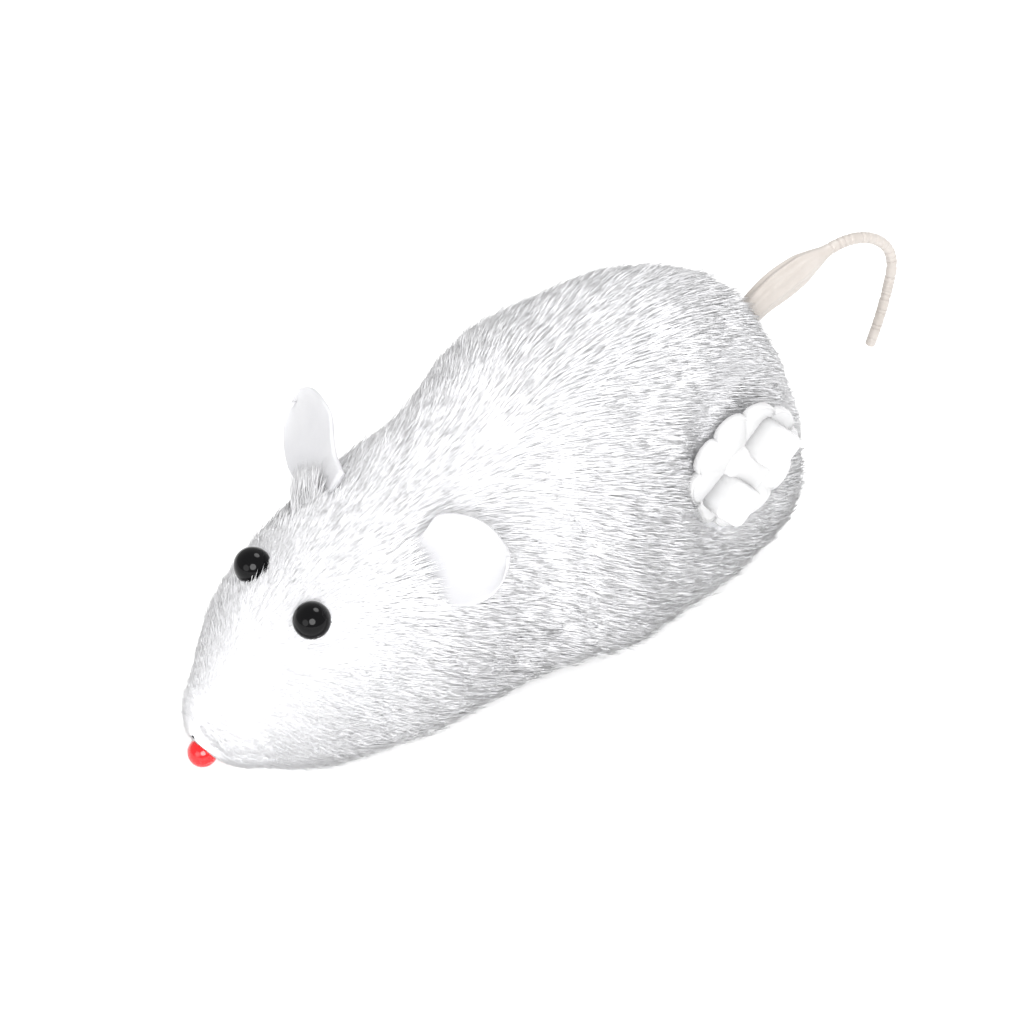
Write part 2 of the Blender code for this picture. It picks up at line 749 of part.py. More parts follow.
def build_key(key_pivot, back_y):
    """A scalloped disc with two square finger lugs and a hub that takes the arbor."""
    front_y = back_y + KEY_DISC_THICKNESS
    key = add_object("key", prism([key_disc_loop()], back_y, front_y, xz_plane), white_vinyl(), key_pivot)
    lugs = bmesh.new()
    turn = Matrix.Rotation(-KEY_LUG_ANGLE, 4, "Y")
    for side in (1, -1):
        loop = rounded_box(
            0.5 * KEY_LUG_LENGTH,
            0.5 * KEY_LUG_WIDTH,
            KEY_LUG_CORNER,
            centre=(side * KEY_LUG_OFFSET, 0.0),
        )
        lug = prism([loop], back_y + 0.5 * KEY_DISC_THICKNESS, front_y + KEY_LUG_HEIGHT, xz_plane)
        bmesh.ops.transform(lug, matrix=turn, verts=lug.verts[:])
        merge_into(lugs, lug)
    add_boolean(key, add_object("key_lug_shape", lugs, white_vinyl(), key_pivot), "UNION")
    boss = rod(KEY_BOSS_RADIUS, back_y + 0.5 * KEY_DISC_THICKNESS, front_y + KEY_BOSS_HEIGHT, WHEEL_SIDES)
    add_boolean(key, add_object("key_boss_shape", boss, white_vinyl(), key_pivot), "UNION")
    hub = rod(KEY_HUB_RADIUS, PLATE_OUTER_Y + 4 * TOUCH_GAP, back_y + KEY_HUB_JOIN * KEY_DISC_THICKNESS)
    add_boolean(key, add_object("key_hub_shape", hub, white_vinyl(), key_pivot), "UNION")
    hole = rod(
        (KEY_ARBOR_RADIUS + PRESS_GAP) / math.cos(math.pi / ROUND_SIDES),
        PLATE_OUTER_Y,
        back_y + KEY_BORE_JOIN * KEY_DISC_THICKNESS + TOUCH_GAP,
    )
    add_boolean(key, add_object("key_arbor_hole", hole, white_vinyl(), key_pivot))


def build_mainspring(frame_pivot, key_to_second):
    """A spiral strip from the key arbor out to the spring post."""
    end_angle = key_to_second + SPRING_POST_TURN
    steps = round(SPRING_TURNS * SPRING_STEPS)
    inner, outer = [], []
    for i in range(steps + 1):
        share = i / steps
        angle = end_angle - math.tau * SPRING_TURNS * (1 - share)
        radius = SPRING_INNER_RADIUS + (SPRING_OUTER_RADIUS - SPRING_INNER_RADIUS) * share
        for points, offset in ((inner, 0.0), (outer, SPRING_STRIP)):
            points.append(((radius + offset) * math.cos(angle), (radius + offset) * math.sin(angle)))
    strip = prism([inner + outer[::-1]], *MAINSPRING_Y, xz_plane)
    add_object("mainspring", strip, spring_steel(), frame_pivot)


def build_great_group(great_pivot, mesh_angle):
    add_gear(
        "great_wheel",
        WHEEL_TEETH,
        mesh_angle,
        GREAT_WHEEL_Y,
        KEY_ARBOR_RADIUS + RUN_GAP,
        brass(),
        great_pivot,
    )
    build_crown_wheel(great_pivot)
    rivet_at = (CLICK_RIVET_AT * math.cos(CLICK_ANGLE), CLICK_RIVET_AT * math.sin(CLICK_ANGLE))
    proud = 0.5 * TOUCH_GAP
    rivet = rod(CLICK_RIVET_RADIUS, RATCHET_Y[0] - proud, RATCHET_Y[1] + proud, SMALL_SIDES)
    bmesh.ops.translate(rivet, verts=rivet.verts[:], vec=(rivet_at[0], 0, rivet_at[1]))
    add_object("click_rivet", rivet, steel(), great_pivot, smooth=True)
    build_click(great_pivot, rivet_at)


def build_click(great_pivot, rivet_at):
    """A springy click: an eye on the rivet and an arm that lies round the ratchet."""
    arm_inner, arm_outer = [], []
    steps = 8
    for i in range(steps + 1):
        share = i / steps
        angle = CLICK_ANGLE - CLICK_SWEEP * share - math.asin(CLICK_EYE_RADIUS / CLICK_RIVET_AT)
        near = RATCHET_TIP_RADIUS + TOUCH_GAP
        radius = CLICK_RIVET_AT + (near - CLICK_RIVET_AT) * math.sin(0.5 * math.pi * share)
        arm_inner.append((radius * math.cos(angle), radius * math.sin(angle)))
        outer = radius + CLICK_THICKNESS
        arm_outer.append((outer * math.cos(angle), outer * math.sin(angle)))
    eye = []
    heading = CLICK_ANGLE - 0.5 * math.pi
    for i in range(SMALL_SIDES - 1):
        angle = heading + math.radians(35) + math.radians(290) * i / (SMALL_SIDES - 2)
        across = rivet_at[0] + CLICK_EYE_RADIUS * math.cos(angle)
        up = rivet_at[1] + CLICK_EYE_RADIUS * math.sin(angle)
        eye.append((across, up))
    outline = eye + arm_inner[1:] + arm_outer[:0:-1]
    loops = [outline, bore(CLICK_RIVET_RADIUS + PRESS_GAP, SMALL_SIDES, rivet_at)]
    add_object("click_spring", prism(loops, *RATCHET_Y, xz_plane), spring_steel(), great_pivot)


def build_crown_wheel(great_pivot):
    """A disc with teeth standing on its face, one of them on the tail's line."""
    pitch_y = -TAIL_PINION_RADIUS
    root_y = pitch_y - DEDENDUM * MODULE
    tip_y = pitch_y + ADDENDUM * MODULE
    tooth = TOOTH_SHARE * math.tau / CROWN_TEETH
    bore_radius = (KEY_ARBOR_RADIUS + RUN_GAP) / math.cos(math.pi / (2 * CROWN_TEETH))
    bm = bmesh.new()
    tail_angle = math.pi - TAIL_TILT
    angles = []
    for i in range(CROWN_TEETH):
        middle = tail_angle + math.tau * i / CROWN_TEETH
        angles += [middle - 0.5 * tooth, middle + 0.5 * tooth]

    def circle_of_verts(radius, y):
        return [bm.verts.new((radius * math.cos(a), y, radius * math.sin(a))) for a in angles]

    rows = [
        circle_of_verts(bore_radius, CROWN_BACK_Y),
        circle_of_verts(CROWN_OUTER_RADIUS, CROWN_BACK_Y),
        circle_of_verts(CROWN_OUTER_RADIUS, root_y),
        circle_of_verts(CROWN_INNER_RADIUS, root_y),
        circle_of_verts(bore_radius, root_y),
    ]
    count = len(angles)
    tooth_faces = []
    for r, row in enumerate(rows):
        after = rows[(r + 1) % len(rows)]
        for i in range(count):
            k = (i + 1) % count
            face = bm.faces.new((row[i], row[k], after[k], after[i]))
            if r == 2 and i % 2 == 0:
                tooth_faces.append(face)
    bmesh.ops.recalc_face_normals(bm, faces=bm.faces[:])
    half_pitch_tooth = 0.5 * TOOTH_SHARE * math.pi * MODULE
    narrowing = 1 - (ADDENDUM + DEDENDUM) * MODULE * math.tan(PRESSURE_ANGLE) / half_pitch_tooth
    narrowing = max(narrowing, 0.4)
    drawn = bmesh.ops.extrude_discrete_faces(bm, faces=tooth_faces)
    for face in drawn["faces"]:
        middle = face.calc_center_median()
        radial = Vector((middle.x, 0, middle.z)).normalized()
        for vert in face.verts:
            offset = vert.co - middle
            along = radial * offset.dot(radial)
            sideways = offset - along
            vert.co = middle + along + sideways * narrowing
            vert.co.y += tip_y - root_y
    add_object("crown_wheel", bm, acetal(), great_pivot)


def build_second_group(second_pivot, key_to_second, second_to_drive):
    ends = PLATE_OUTER_Y + ARBOR_END
    add_object(
        "second_arbor",
        rod(SECOND_ARBOR_RADIUS, -ends, ends),
        steel(),
        second_pivot,
        smooth=True,
    )
    hub = SECOND_ARBOR_RADIUS + PRESS_GAP
    phase = key_to_second + math.pi + math.pi / PINION_TEETH
    add_gear("second_pinion", PINION_TEETH, phase, SECOND_PINION_Y, hub, acetal(), second_pivot)
    add_gear("second_wheel", WHEEL_TEETH, second_to_drive, SECOND_WHEEL_Y, hub, acetal(), second_pivot)


def wheel_profile(outer, boss, width, bore_radius):
    """Section of a spoked-looking wheel: boss, thin web, rim."""
    web = 0.5 * width * HUB_WEB_SHARE
    rim = WHEEL_RIM_SHARE * outer
    middle = 0.5 * width
    clear_bore = bore_radius / math.cos(math.pi / WHEEL_SIDES)
    return [
        (clear_bore, 0),
        (boss, 0),
        (boss, middle - web),
        (rim, middle - web),
        (rim, 0),
        (outer, 0),
        (outer, width),
        (rim, width),
        (rim, middle + web),
        (boss, middle + web),
        (boss, width),
        (clear_bore, width),
    ]


def build_drive_group(drive_pivot, second_to_drive):
    axle_end = WHEEL_INNER_Y + DRIVE_WHEEL_WIDTH + 0.5 * TOUCH_GAP
    add_object("drive_axle", rod(DRIVE_AXLE_RADIUS, -axle_end, axle_end), steel(), drive_pivot, smooth=True)
    hub = DRIVE_AXLE_RADIUS + PRESS_GAP
    phase = second_to_drive + math.pi + math.pi / PINION_TEETH
    add_gear("drive_pinion", PINION_TEETH, phase, DRIVE_PINION_Y, hub, acetal(), drive_pivot)
    profile = wheel_profile(DRIVE_HUB_RADIUS, HUB_BOSS_RADIUS, DRIVE_WHEEL_WIDTH, hub)
    for name, side in (("left", 1), ("right", -1)):
        placed = [(radius, side * (WHEEL_INNER_Y + along)) for radius, along in profile]
        wheel = turned(placed, WHEEL_SIDES, hollow=True)
        add_object("drive_wheel_" + name, wheel, white_vinyl(), drive_pivot, smooth=True)
        low, high = sorted((side * WHEEL_INNER_Y, side * (WHEEL_INNER_Y + DRIVE_WHEEL_WIDTH)))
        tyre = ring(DRIVE_HUB_RADIUS + RUN_GAP, DRIVE_RADIUS, low, high, WHEEL_SIDES)
        add_object("tyre_" + name, tyre, rubber(), drive_pivot, smooth=True)


def build_front_group(front_pivot):
    end = FRONT_WHEEL_INNER_Y + FRONT_WHEEL_WIDTH + 0.5 * TOUCH_GAP
    add_object("front_axle", rod(FRONT_AXLE_RADIUS, -end, end), steel(), front_pivot, smooth=True)
    hub = FRONT_AXLE_RADIUS + PRESS_GAP
    profile = wheel_profile(FRONT_RADIUS, FRONT_BOSS_RADIUS, FRONT_WHEEL_WIDTH, hub)
    for name, side in (("left", 1), ("right", -1)):
        placed = [(radius, side * (FRONT_WHEEL_INNER_Y + along)) for radius, along in profile]
        wheel = turned(placed, WHEEL_SIDES, hollow=True)
        add_object("front_wheel_" + name, wheel, white_vinyl(), front_pivot, smooth=True)


def build_frame(frame, layout):
    """Two plates, held apart by pillars and feet, that carry the arbors."""
    key, second, drive, key_to_second, _ = layout
    post_angle = key_to_second + SPRING_POST_TURN
    spring_post = key + SPRING_POST_REACH * Vector((math.cos(post_angle), math.sin(post_angle)))
    foot_z = SHELL_RIM_Z + PLATE_MARGIN
    corners = [
        PILLAR_REAR,
        (FOOT_REAR_X, foot_z),
        (FOOT_FRONT_X, foot_z),
        PILLAR_FRONT,
        PLATE_REAR_CORNER,
    ]
    outline = belt_loop(corners, PLATE_MARGIN)
    holes = [
        bore(KEY_ARBOR_RADIUS + RUN_GAP, ROUND_SIDES, key),
        bore(SECOND_ARBOR_RADIUS + RUN_GAP, ROUND_SIDES, second),
        bore(DRIVE_AXLE_RADIUS + RUN_GAP, ROUND_SIDES, drive),
    ]
    posts = {"pillar_front": PILLAR_FRONT, "pillar_rear": PILLAR_REAR, "spring_post": spring_post}
    for post in posts.values():
        holes.append(bore(PILLAR_SPIGOT_RADIUS + PRESS_GAP, SMALL_SIDES, post))
    for name, side in (("left", 1), ("right", -1)):
        low, high = sorted((side * PLATE_INNER_Y, side * PLATE_OUTER_Y))
        plate = prism([outline] + holes, low, high, xz_plane)
        add_object("frame_plate_" + name, plate, steel(), frame)
    shoulder = PLATE_INNER_Y - TOUCH_GAP
    end = PLATE_OUTER_Y + 0.5 * TOUCH_GAP
    for name, post in posts.items():
        profile = [
            (0, -end),
            (PILLAR_SPIGOT_RADIUS, -end),
            (PILLAR_SPIGOT_RADIUS, -shoulder),
            (PILLAR_RADIUS, -shoulder),
            (PILLAR_RADIUS, shoulder),
            (PILLAR_SPIGOT_RADIUS, shoulder),
            (PILLAR_SPIGOT_RADIUS, end),
            (0, end),
        ]
        pillar = turned(profile, SMALL_SIDES)
        bmesh.ops.translate(pillar, verts=pillar.verts[:], vec=(post[0], 0, post[1]))
        add_object(name, pillar, steel(), frame, smooth=True)
    for name, x in (("front", FOOT_FRONT_X), ("rear", FOOT_REAR_X)):
        loops = [
            rounded_box(0.5 * FOOT_LENGTH, shoulder, 0.5 * MM, centre=(x, 0)),
            bore(SCREW_RADIUS + PRESS_GAP, SMALL_SIDES, (x, 0)),
        ]
        foot = prism(loops, SHELL_RIM_Z, SHELL_RIM_Z + FOOT_HEIGHT, xy_plane)
        add_object("frame_foot_" + name, foot, acetal(), frame)


def build_base(frame):
    """The belly plate, with slots for the wheels and holes for the screws."""
    loops = [base_outline(SHELL_OUTSET)]
    wheels = (
        (DRIVE_AXIS_X, DRIVE_RADIUS, DRIVE_AXIS_Z, WHEEL_INNER_Y, DRIVE_WHEEL_WIDTH),
        (FRONT_AXLE_X, FRONT_RADIUS, FRONT_RADIUS, FRONT_WHEEL_INNER_Y, FRONT_WHEEL_WIDTH),
    )
    for x, radius, height, inner_y, width in wheels:
        chord = math.sqrt(radius**2 - (height - BASE_TOP_Z) ** 2) + 2 * WHEEL_SLOT_GAP
        for side in (1, -1):
            middle = side * (inner_y + 0.5 * width)
            half_width = 0.5 * width + WHEEL_SLOT_GAP
            loops.append(rounded_box(chord, half_width, WHEEL_SLOT_GAP, centre=(x, middle)))
    for x in (POST_FRONT_X, POST_REAR_X, FOOT_FRONT_X, FOOT_REAR_X):
        loops.append(bore(SCREW_RADIUS + RUN_GAP, SMALL_SIDES, (x, 0)))
    base = prism(loops, BASE_CLEARANCE, BASE_TOP_Z, xy_plane)
    add_object("base_plate", base, shell_plastic(), frame)
    for name, side in (("left", 1), ("right", -1)):
        loops = [
            box_loop(
                FRONT_AXLE_X - 0.5 * BRACKET_LENGTH,
                FRONT_AXLE_X + 0.5 * BRACKET_LENGTH,
                SHELL_RIM_Z,
                SHELL_RIM_Z + BRACKET_HEIGHT,
            ),
            bore(FRONT_AXLE_RADIUS + RUN_GAP, ROUND_SIDES, (FRONT_AXLE_X, FRONT_RADIUS)),
        ]
        span = sorted((side * BRACKET_Y, side * (BRACKET_Y - BRACKET_WIDTH)))
        add_object("axle_bracket_" + name, prism(loops, *span, xz_plane), acetal(), frame)
    heads = (
        ("shell_screw_front", POST_FRONT_X),
        ("shell_screw_rear", POST_REAR_X),
        ("frame_screw_front", FOOT_FRONT_X),
        ("frame_screw_rear", FOOT_REAR_X),
    )
    for name, x in heads:
        seat = BASE_CLEARANCE - 0.1 * TOUCH_GAP
        profile = [
            (0, seat - SCREW_HEAD_HEIGHT),
            (0.7 * SCREW_HEAD_RADIUS, seat - SCREW_HEAD_HEIGHT),
            (SCREW_HEAD_RADIUS, seat - 0.5 * SCREW_HEAD_HEIGHT),
            (SCREW_HEAD_RADIUS, seat),
            (SCREW_RADIUS, seat),
            (SCREW_RADIUS, seat + SCREW_LENGTH - BASE_THICKNESS),
            (0, seat + SCREW_LENGTH),
        ]
        screw = turned(profile, SMALL_SIDES, axis="Z")
        bmesh.ops.translate(screw, verts=screw.verts[:], vec=(x, 0, 0))
        add_object(name, screw, steel(), frame, smooth=True)


def aimed(origin, direction):
    """A placement with local +Z along the direction."""
    return Matrix.Translation(origin) @ direction.to_track_quat("Z", "Y").to_matrix().to_4x4()


def bead(radius, shank_length):
    """A ball on a short round shank, with the ball's centre at the origin."""
    steps = 8
    start = math.asin(SHANK_RADIUS / radius)
    profile = [(0, -shank_length), (SHANK_RADIUS, -shank_length)]
    for i in range(steps + 1):
        angle = start + (math.pi - start) * i / steps
        profile.append((radius * math.sin(angle), -radius * math.cos(angle)))
    profile[-1] = (0, radius)
    return turned(profile, ROUND_SIDES, axis="Z")


def face_places():
    """Name, ball centre, outward direction, ball radius and shank length."""
    places = []
    for name, side in (("left", 1), ("right", -1)):
        outward = outward_at(EYE_X, side * EYE_Y)
        skin_point = Vector((EYE_X, side * EYE_Y, height_at(EYE_X, EYE_Y, 0)))
        places.append(("eye_" + name, skin_point - outward * EYE_SINK, outward, EYE_RADIUS, SHANK_LENGTH))
    forward = Vector((math.cos(NOSE_DROOP), 0, math.sin(NOSE_DROOP)))
    places.append(("nose_bead", Vector((NOSE_X, 0, NOSE_Z)), forward, NOSE_RADIUS, NOSE_SHANK_LENGTH))
    return places


def build_face(frame):
    for name, centre, outward, radius, shank in face_places():
        material = red_gloss() if name == "nose_bead" else black_gloss()
        bm = bead(radius, shank)
        bmesh.ops.transform(bm, matrix=aimed(centre, outward), verts=bm.verts[:])
        add_object(name, bm, material, frame, smooth=True)


def ear_frames():
    """Name, root, and the across, facing and pointing directions of each ear."""
    frames = []
    for name, ahead, aside, over, pointing in EARS:
        x, y = ahead * BODY_LENGTH, aside * BODY_WIDTH
        root = Vector((x, y, height_at(x, y, 0) + over))
        side = math.copysign(1.0, y)
        facing = Vector((EAR_FACING[0], side * EAR_FACING[1], EAR_FACING[2]))
        along = Vector(pointing)
        along = (along - facing * along.dot(facing) / facing.length_squared).normalized()
        across = facing.cross(along).normalized()
        frames.append((name, root, across, along.cross(across), along))
    return frames


def ear_half_width(along):
    """Half width of an ear: narrow in its slot, full in the flap, round at the end."""
    if along <= EAR_NECK_LENGTH:
        return 0.5 * EAR_NECK_WIDTH
    share = (along - EAR_NECK_LENGTH) / (EAR_LENGTH - EAR_NECK_LENGTH)
    swell = math.sin(0.5 * math.pi * min(1.0, 2.4 * share))
    width = EAR_NECK_WIDTH + (EAR_WIDTH - EAR_NECK_WIDTH) * swell
    return 0.5 * width * math.sqrt(max(0.04, 1 - share**3.2))


def build_ears(frame):
    for name, root, across, facing, along in ear_frames():
        rings = []
        places = [-EAR_ROOT, 0.0]
        flap = EAR_LENGTH - EAR_NECK_LENGTH
        for i in range(EAR_STEPS + 1):
            places.append(EAR_NECK_LENGTH + flap * math.sin(0.5 * math.pi * i / EAR_STEPS))
        for place in places:
            half = ear_half_width(place)
            cup = EAR_CUP * min(1.0, max(0.0, place / (0.5 * EAR_LENGTH)))
            ring_points = []
            for side in (-1, 1):
                for c in range(EAR_COLUMNS + 1):
                    share = side * (1 - 2 * c / EAR_COLUMNS)
                    edge = math.sqrt(max(0.12, 1 - share**8))
                    lift = cup * share**2 + 0.5 * side * EAR_THICKNESS * edge
                    ring_points.append(root + along * place + across * (half * share) + facing * lift)
            rings.append(ring_points)
        add_object(name, skin(rings), white_vinyl(), frame, smooth=True)


def ear_slots():
    """Helper shape that opens the head for both ear roots."""
    bm = bmesh.new()
    for _, root, across, facing, along in ear_frames():
        half_across = 0.5 * EAR_NECK_WIDTH + TOUCH_GAP
        half_facing = 0.5 * EAR_THICKNESS + TOUCH_GAP
        slot = bmesh.new()
        bmesh.ops.create_cube(slot, size=2.0)
        bmesh.ops.scale(slot, vec=(half_across, half_facing, EAR_ROOT + 2 * TOUCH_GAP), verts=slot.verts[:])
        axes = Matrix((across, facing, along)).transposed().to_4x4()
        bmesh.ops.transform(slot, matrix=Matrix.Translation(root) @ axes, verts=slot.verts[:])
        bmesh.ops.recalc_face_normals(slot, faces=slot.faces[:])
        merge_into(bm, slot)
    return bm


def tail_line():
    """Centre line of the tail in its own frame: place and heading by length."""
    points = [(0.0, Vector((0, 0, 0)), TAIL_START_HEADING)]
    total = sum(run[0] for run in TAIL_RUNS)
    count = 200
    step = total / count
    place, heading = Vector((0, 0, 0)), TAIL_START_HEADING
    for i in range(count):
        along = (i + 0.5) * step
        passed, turn_rate = 0.0, 0.0
        for length, turn in TAIL_RUNS:
            if along < passed + length:
                turn_rate = math.radians(turn) / length
                break
            passed += length
        heading += turn_rate * step
        place = place + Vector((math.cos(heading), 0, math.sin(heading))) * step
        points.append(((i + 1) * step, place, heading))
    return points


def tail_ring(place, heading, half_height, half_width):
    up = Vector((-math.sin(heading), 0, math.cos(heading)))
    side = Vector((0, 1, 0))
    return [
        place + up * (half_height * math.sin(angle)) + side * (half_width * math.cos(angle))
        for angle in (math.tau * k / TAIL_SIDES for k in range(TAIL_SIDES))
    ]


def build_tail_group(tail_pivot, exit_distance):
    """The tail with its socket, the shaft in it, and the pinion on the shaft.

    The pivot's +X runs out along the axis, and its origin is where the fur ends.
    """
    socket = (TAIL_SHAFT_RADIUS + PRESS_GAP) / math.cos(math.pi / TAIL_SIDES)
    start_x = -TAIL_SPIGOT_LENGTH
    rings = [
        tail_ring(Vector((start_x + TAIL_SOCKET_DEPTH, 0, 0)), 0.0, socket, socket),
        tail_ring(Vector((start_x, 0, 0)), 0.0, socket, socket),
        tail_ring(Vector((start_x, 0, 0)), 0.0, TAIL_SPIGOT_RADIUS, TAIL_SPIGOT_RADIUS),
    ]
    heights = [(knot[0], knot[1]) for knot in TAIL_PROFILE]
    widths = [(knot[0], knot[2]) for knot in TAIL_PROFILE]
    line = tail_line()
    for i in range(TAIL_STEPS + 1):
        along, place, heading = line[round(i * (len(line) - 1) / TAIL_STEPS)]
        if i == 0:
            heading = 0.5 * TAIL_START_HEADING
        half_height = monotone_curve(heights, along)
        half_width = monotone_curve(widths, along)
        rings.append(tail_ring(place, heading, half_height, half_width))
    add_object("tail", skin(rings), tail_vinyl(), tail_pivot, smooth=True)
    inner_end = CROWN_INNER_RADIUS - TAIL_PINION_OVERHANG - exit_distance
    outer_end = CROWN_OUTER_RADIUS + TAIL_PINION_OVERHANG - exit_distance
    shaft_end = start_x + TAIL_SOCKET_DEPTH - TOUCH_GAP
    shaft = rod(TAIL_SHAFT_RADIUS, inner_end - TOUCH_GAP, shaft_end, ROUND_SIDES, axis="X")
    add_object("tail_shaft", shaft, steel(), tail_pivot, smooth=True)
    gap_to_crown = math.pi - math.pi / TAIL_PINION_TEETH
    loops = [gear_loop(TAIL_PINION_TEETH, gap_to_crown), bore(TAIL_SHAFT_RADIUS + PRESS_GAP, SMALL_SIDES)]
    pinion = prism(loops, inner_end, outer_end, yz_plane)
    add_object("tail_pinion", pinion, acetal(), tail_pivot)


def build_tail_bearings(fixed_tail_pivot, exit_distance):
    """The bracket between the plates and the bush in the shell."""
    bracket_x = TAIL_BRACKET_AT - exit_distance
    arm = PLATE_INNER_Y - TOUCH_GAP
    arm_low, arm_high = TAIL_BRACKET_ARM
    outline = [
        (-arm, arm_low),
        (arm, arm_low),
        (arm, arm_high),
        (TAIL_BRACKET_NECK, arm_high),
        (TAIL_BRACKET_NECK, TAIL_BRACKET_TOP),
        (-TAIL_BRACKET_NECK, TAIL_BRACKET_TOP),
        (-TAIL_BRACKET_NECK, arm_high),
        (-arm, arm_high),
    ]
    loops = [outline, bore(TAIL_SHAFT_RADIUS + RUN_GAP)]
    bracket = prism(loops, bracket_x, bracket_x + TAIL_BRACKET_THICKNESS, yz_plane)
    add_object("tail_bracket", bracket, acetal(), fixed_tail_pivot)
    inner = TAIL_SPIGOT_RADIUS + RUN_GAP
    origin, direction, _ = tail_frame()
    low = distance_to_skin(origin, direction, CAVITY_OUTSET) - exit_distance - TAIL_BUSH_OVERHANG
    high = distance_to_skin(origin, direction, SHELL_OUTSET) - exit_distance + TAIL_BUSH_OVERHANG
    bush = ring(inner, inner + TAIL_BUSH_WALL, low, high, ROUND_SIDES, axis="X")
    add_object("tail_bush", bush, acetal(), fixed_tail_pivot, smooth=True)


def straight_cutter(origin, direction, radius, low, high):
    """A round helper along a line, from low to high along it."""
    bm = rod(radius, low, high, ROUND_SIDES, axis="Z")
    bmesh.ops.transform(bm, matrix=aimed(origin, direction), verts=bm.verts[:])
    bmesh.ops.recalc_face_normals(bm, faces=bm.faces[:])
    return bm


def axis_cutter(origin, direction, radius, reach):
    """A round helper where an axis that runs this far leaves the body."""
    return straight_cutter(origin, direction, radius, CUT_START_SHARE * reach, CUT_END_SHARE * reach)


def hub_cutter(key_centre):
    """A round helper that lets the hub of the key through."""
    radius = KEY_HUB_RADIUS + KEY_HUB_CLEARANCE
    return straight_cutter(key_centre, Vector((0, 1, 0)), radius, PLATE_OUTER_Y, BODY_WIDTH)


def lower_box(top_z):
    """A helper block that covers all below a height."""
    bm = bmesh.new()
    bmesh.ops.create_cube(bm, size=1.0)
    reach = BODY_LENGTH + BODY_WIDTH
    bmesh.ops.scale(bm, vec=(reach, reach, top_z - FLOOR_CUT_Z), verts=bm.verts[:])
    bmesh.ops.translate(bm, vec=(0, 0, 0.5 * (top_z + FLOOR_CUT_Z)), verts=bm.verts[:])
    return bm


def build_shell(frame, key_centre, tail):
    """The hard upper shell, open below, with holes for all that passes through."""
    shell = add_object("body_shell", body_loft(SHELL_OUTSET), shell_plastic(), frame, smooth=True)
    add_boolean(shell, add_object("shell_under", lower_box(SHELL_RIM_Z), shell_plastic(), frame))
    cavity = add_object("shell_cavity", body_loft(CAVITY_OUTSET), shell_plastic(), frame)
    add_boolean(shell, cavity)
    posts = bmesh.new()
    front_top = height_at(POST_FRONT_X + POST_RADIUS, 0, CAVITY_OUTSET) + 0.5 * SHELL_WALL
    for x, top in ((POST_FRONT_X, front_top), (POST_REAR_X, POST_REAR_TOP)):
        post = rod(POST_RADIUS, SHELL_RIM_Z, top, SMALL_SIDES, axis="Z")
        bmesh.ops.translate(post, verts=post.verts[:], vec=(x, 0, 0))
        bmesh.ops.recalc_face_normals(post, faces=post.faces[:])
        merge_into(posts, post)
    add_boolean(shell, add_object("shell_posts", posts, shell_plastic(), frame), "UNION")
    rib_start = Vector((POST_REAR_X, 0, RIB_BOTTOM))
    rib_reach = distance_to_skin(rib_start, Vector((-1, 0, 0)), CAVITY_OUTSET) + WALL_SINK * SHELL_WALL
    rib_loop = box_loop(POST_REAR_X - rib_reach, POST_REAR_X, -RIB_HALF_WIDTH, RIB_HALF_WIDTH)
    rib = prism([rib_loop], RIB_BOTTOM, POST_REAR_TOP - TOUCH_GAP, xy_plane)
    add_boolean(shell, add_object("shell_rib", rib, shell_plastic(), frame), "UNION")
    holes = bmesh.new()
    for x in (POST_FRONT_X, POST_REAR_X):
        hole_radius = SCREW_RADIUS + PRESS_GAP
        hole_end = BASE_CLEARANCE + SCREW_HOLE_DEPTH
        merge_into(holes, straight_cutter((x, 0, 0), Vector((0, 0, 1)), hole_radius, 0, hole_end))
    merge_into(holes, hub_cutter(key_centre))
    bush_radius = TAIL_SPIGOT_RADIUS + RUN_GAP + TAIL_BUSH_WALL + TOUCH_GAP
    origin, direction, reach = tail
    merge_into(holes, axis_cutter(origin, direction, bush_radius, reach))
    for _, centre, outward, radius, shank in face_places():
        hole_radius = SHANK_RADIUS + TOUCH_GAP
        merge_into(holes, straight_cutter(centre, outward, hole_radius, -2 * shank, radius))
    merge_into(holes, ear_slots())
    add_boolean(shell, add_object("shell_holes", holes, shell_plastic(), frame))


def build_fur(frame, key_centre, tail, disc_back_y):
    """The plush cover over the shell, with a hem that hangs past the base plate."""
    fur = add_object("fur_skin", body_loft(0.0), fur_white(), frame, smooth=True)
    cavity = body_loft(FUR_THICKNESS, floor_z=BASE_CLEARANCE)
    add_boolean(fur, add_object("fur_cavity", cavity, fur_white(), frame))
    add_boolean(fur, add_object("fur_under", lower_box(FUR_HEM_HEIGHT), fur_white(), frame))
    belly_top = BASE_TOP_Z + BASE_THICKNESS
    belly = prism([base_outline(SHELL_OUTSET - TOUCH_GAP)], FLOOR_CUT_Z, belly_top, xy_plane)
    add_boolean(fur, add_object("fur_belly", belly, fur_white(), frame))
    holes = bmesh.new()
    merge_into(holes, hub_cutter(key_centre))
    origin, direction, reach = tail
    tail_radius = TAIL_SPIGOT_RADIUS + TAIL_FUR_GAP
    merge_into(holes, axis_cutter(origin, direction, tail_radius, reach))
    for _, centre, outward, radius, shank in face_places():
        sink = SHANK_CUT_SHARE * shank
        merge_into(holes, straight_cutter(centre, outward, radius + TOUCH_GAP, -sink, 2 * radius))
    merge_into(holes, ear_slots())
    add_boolean(fur, add_object("fur_holes", holes, fur_white(), frame))
    pocket_radius = KEY_DISC_RADIUS + KEY_LOBE_DEPTH + KEY_POCKET_GAP
    pocket_back = disc_back_y - TOUCH_GAP
    pocket = straight_cutter(key_centre, Vector((0, 1, 0)), pocket_radius, pocket_back, BODY_WIDTH)
    add_boolean(fur, add_object("key_pocket", pocket, fur_white(), frame))


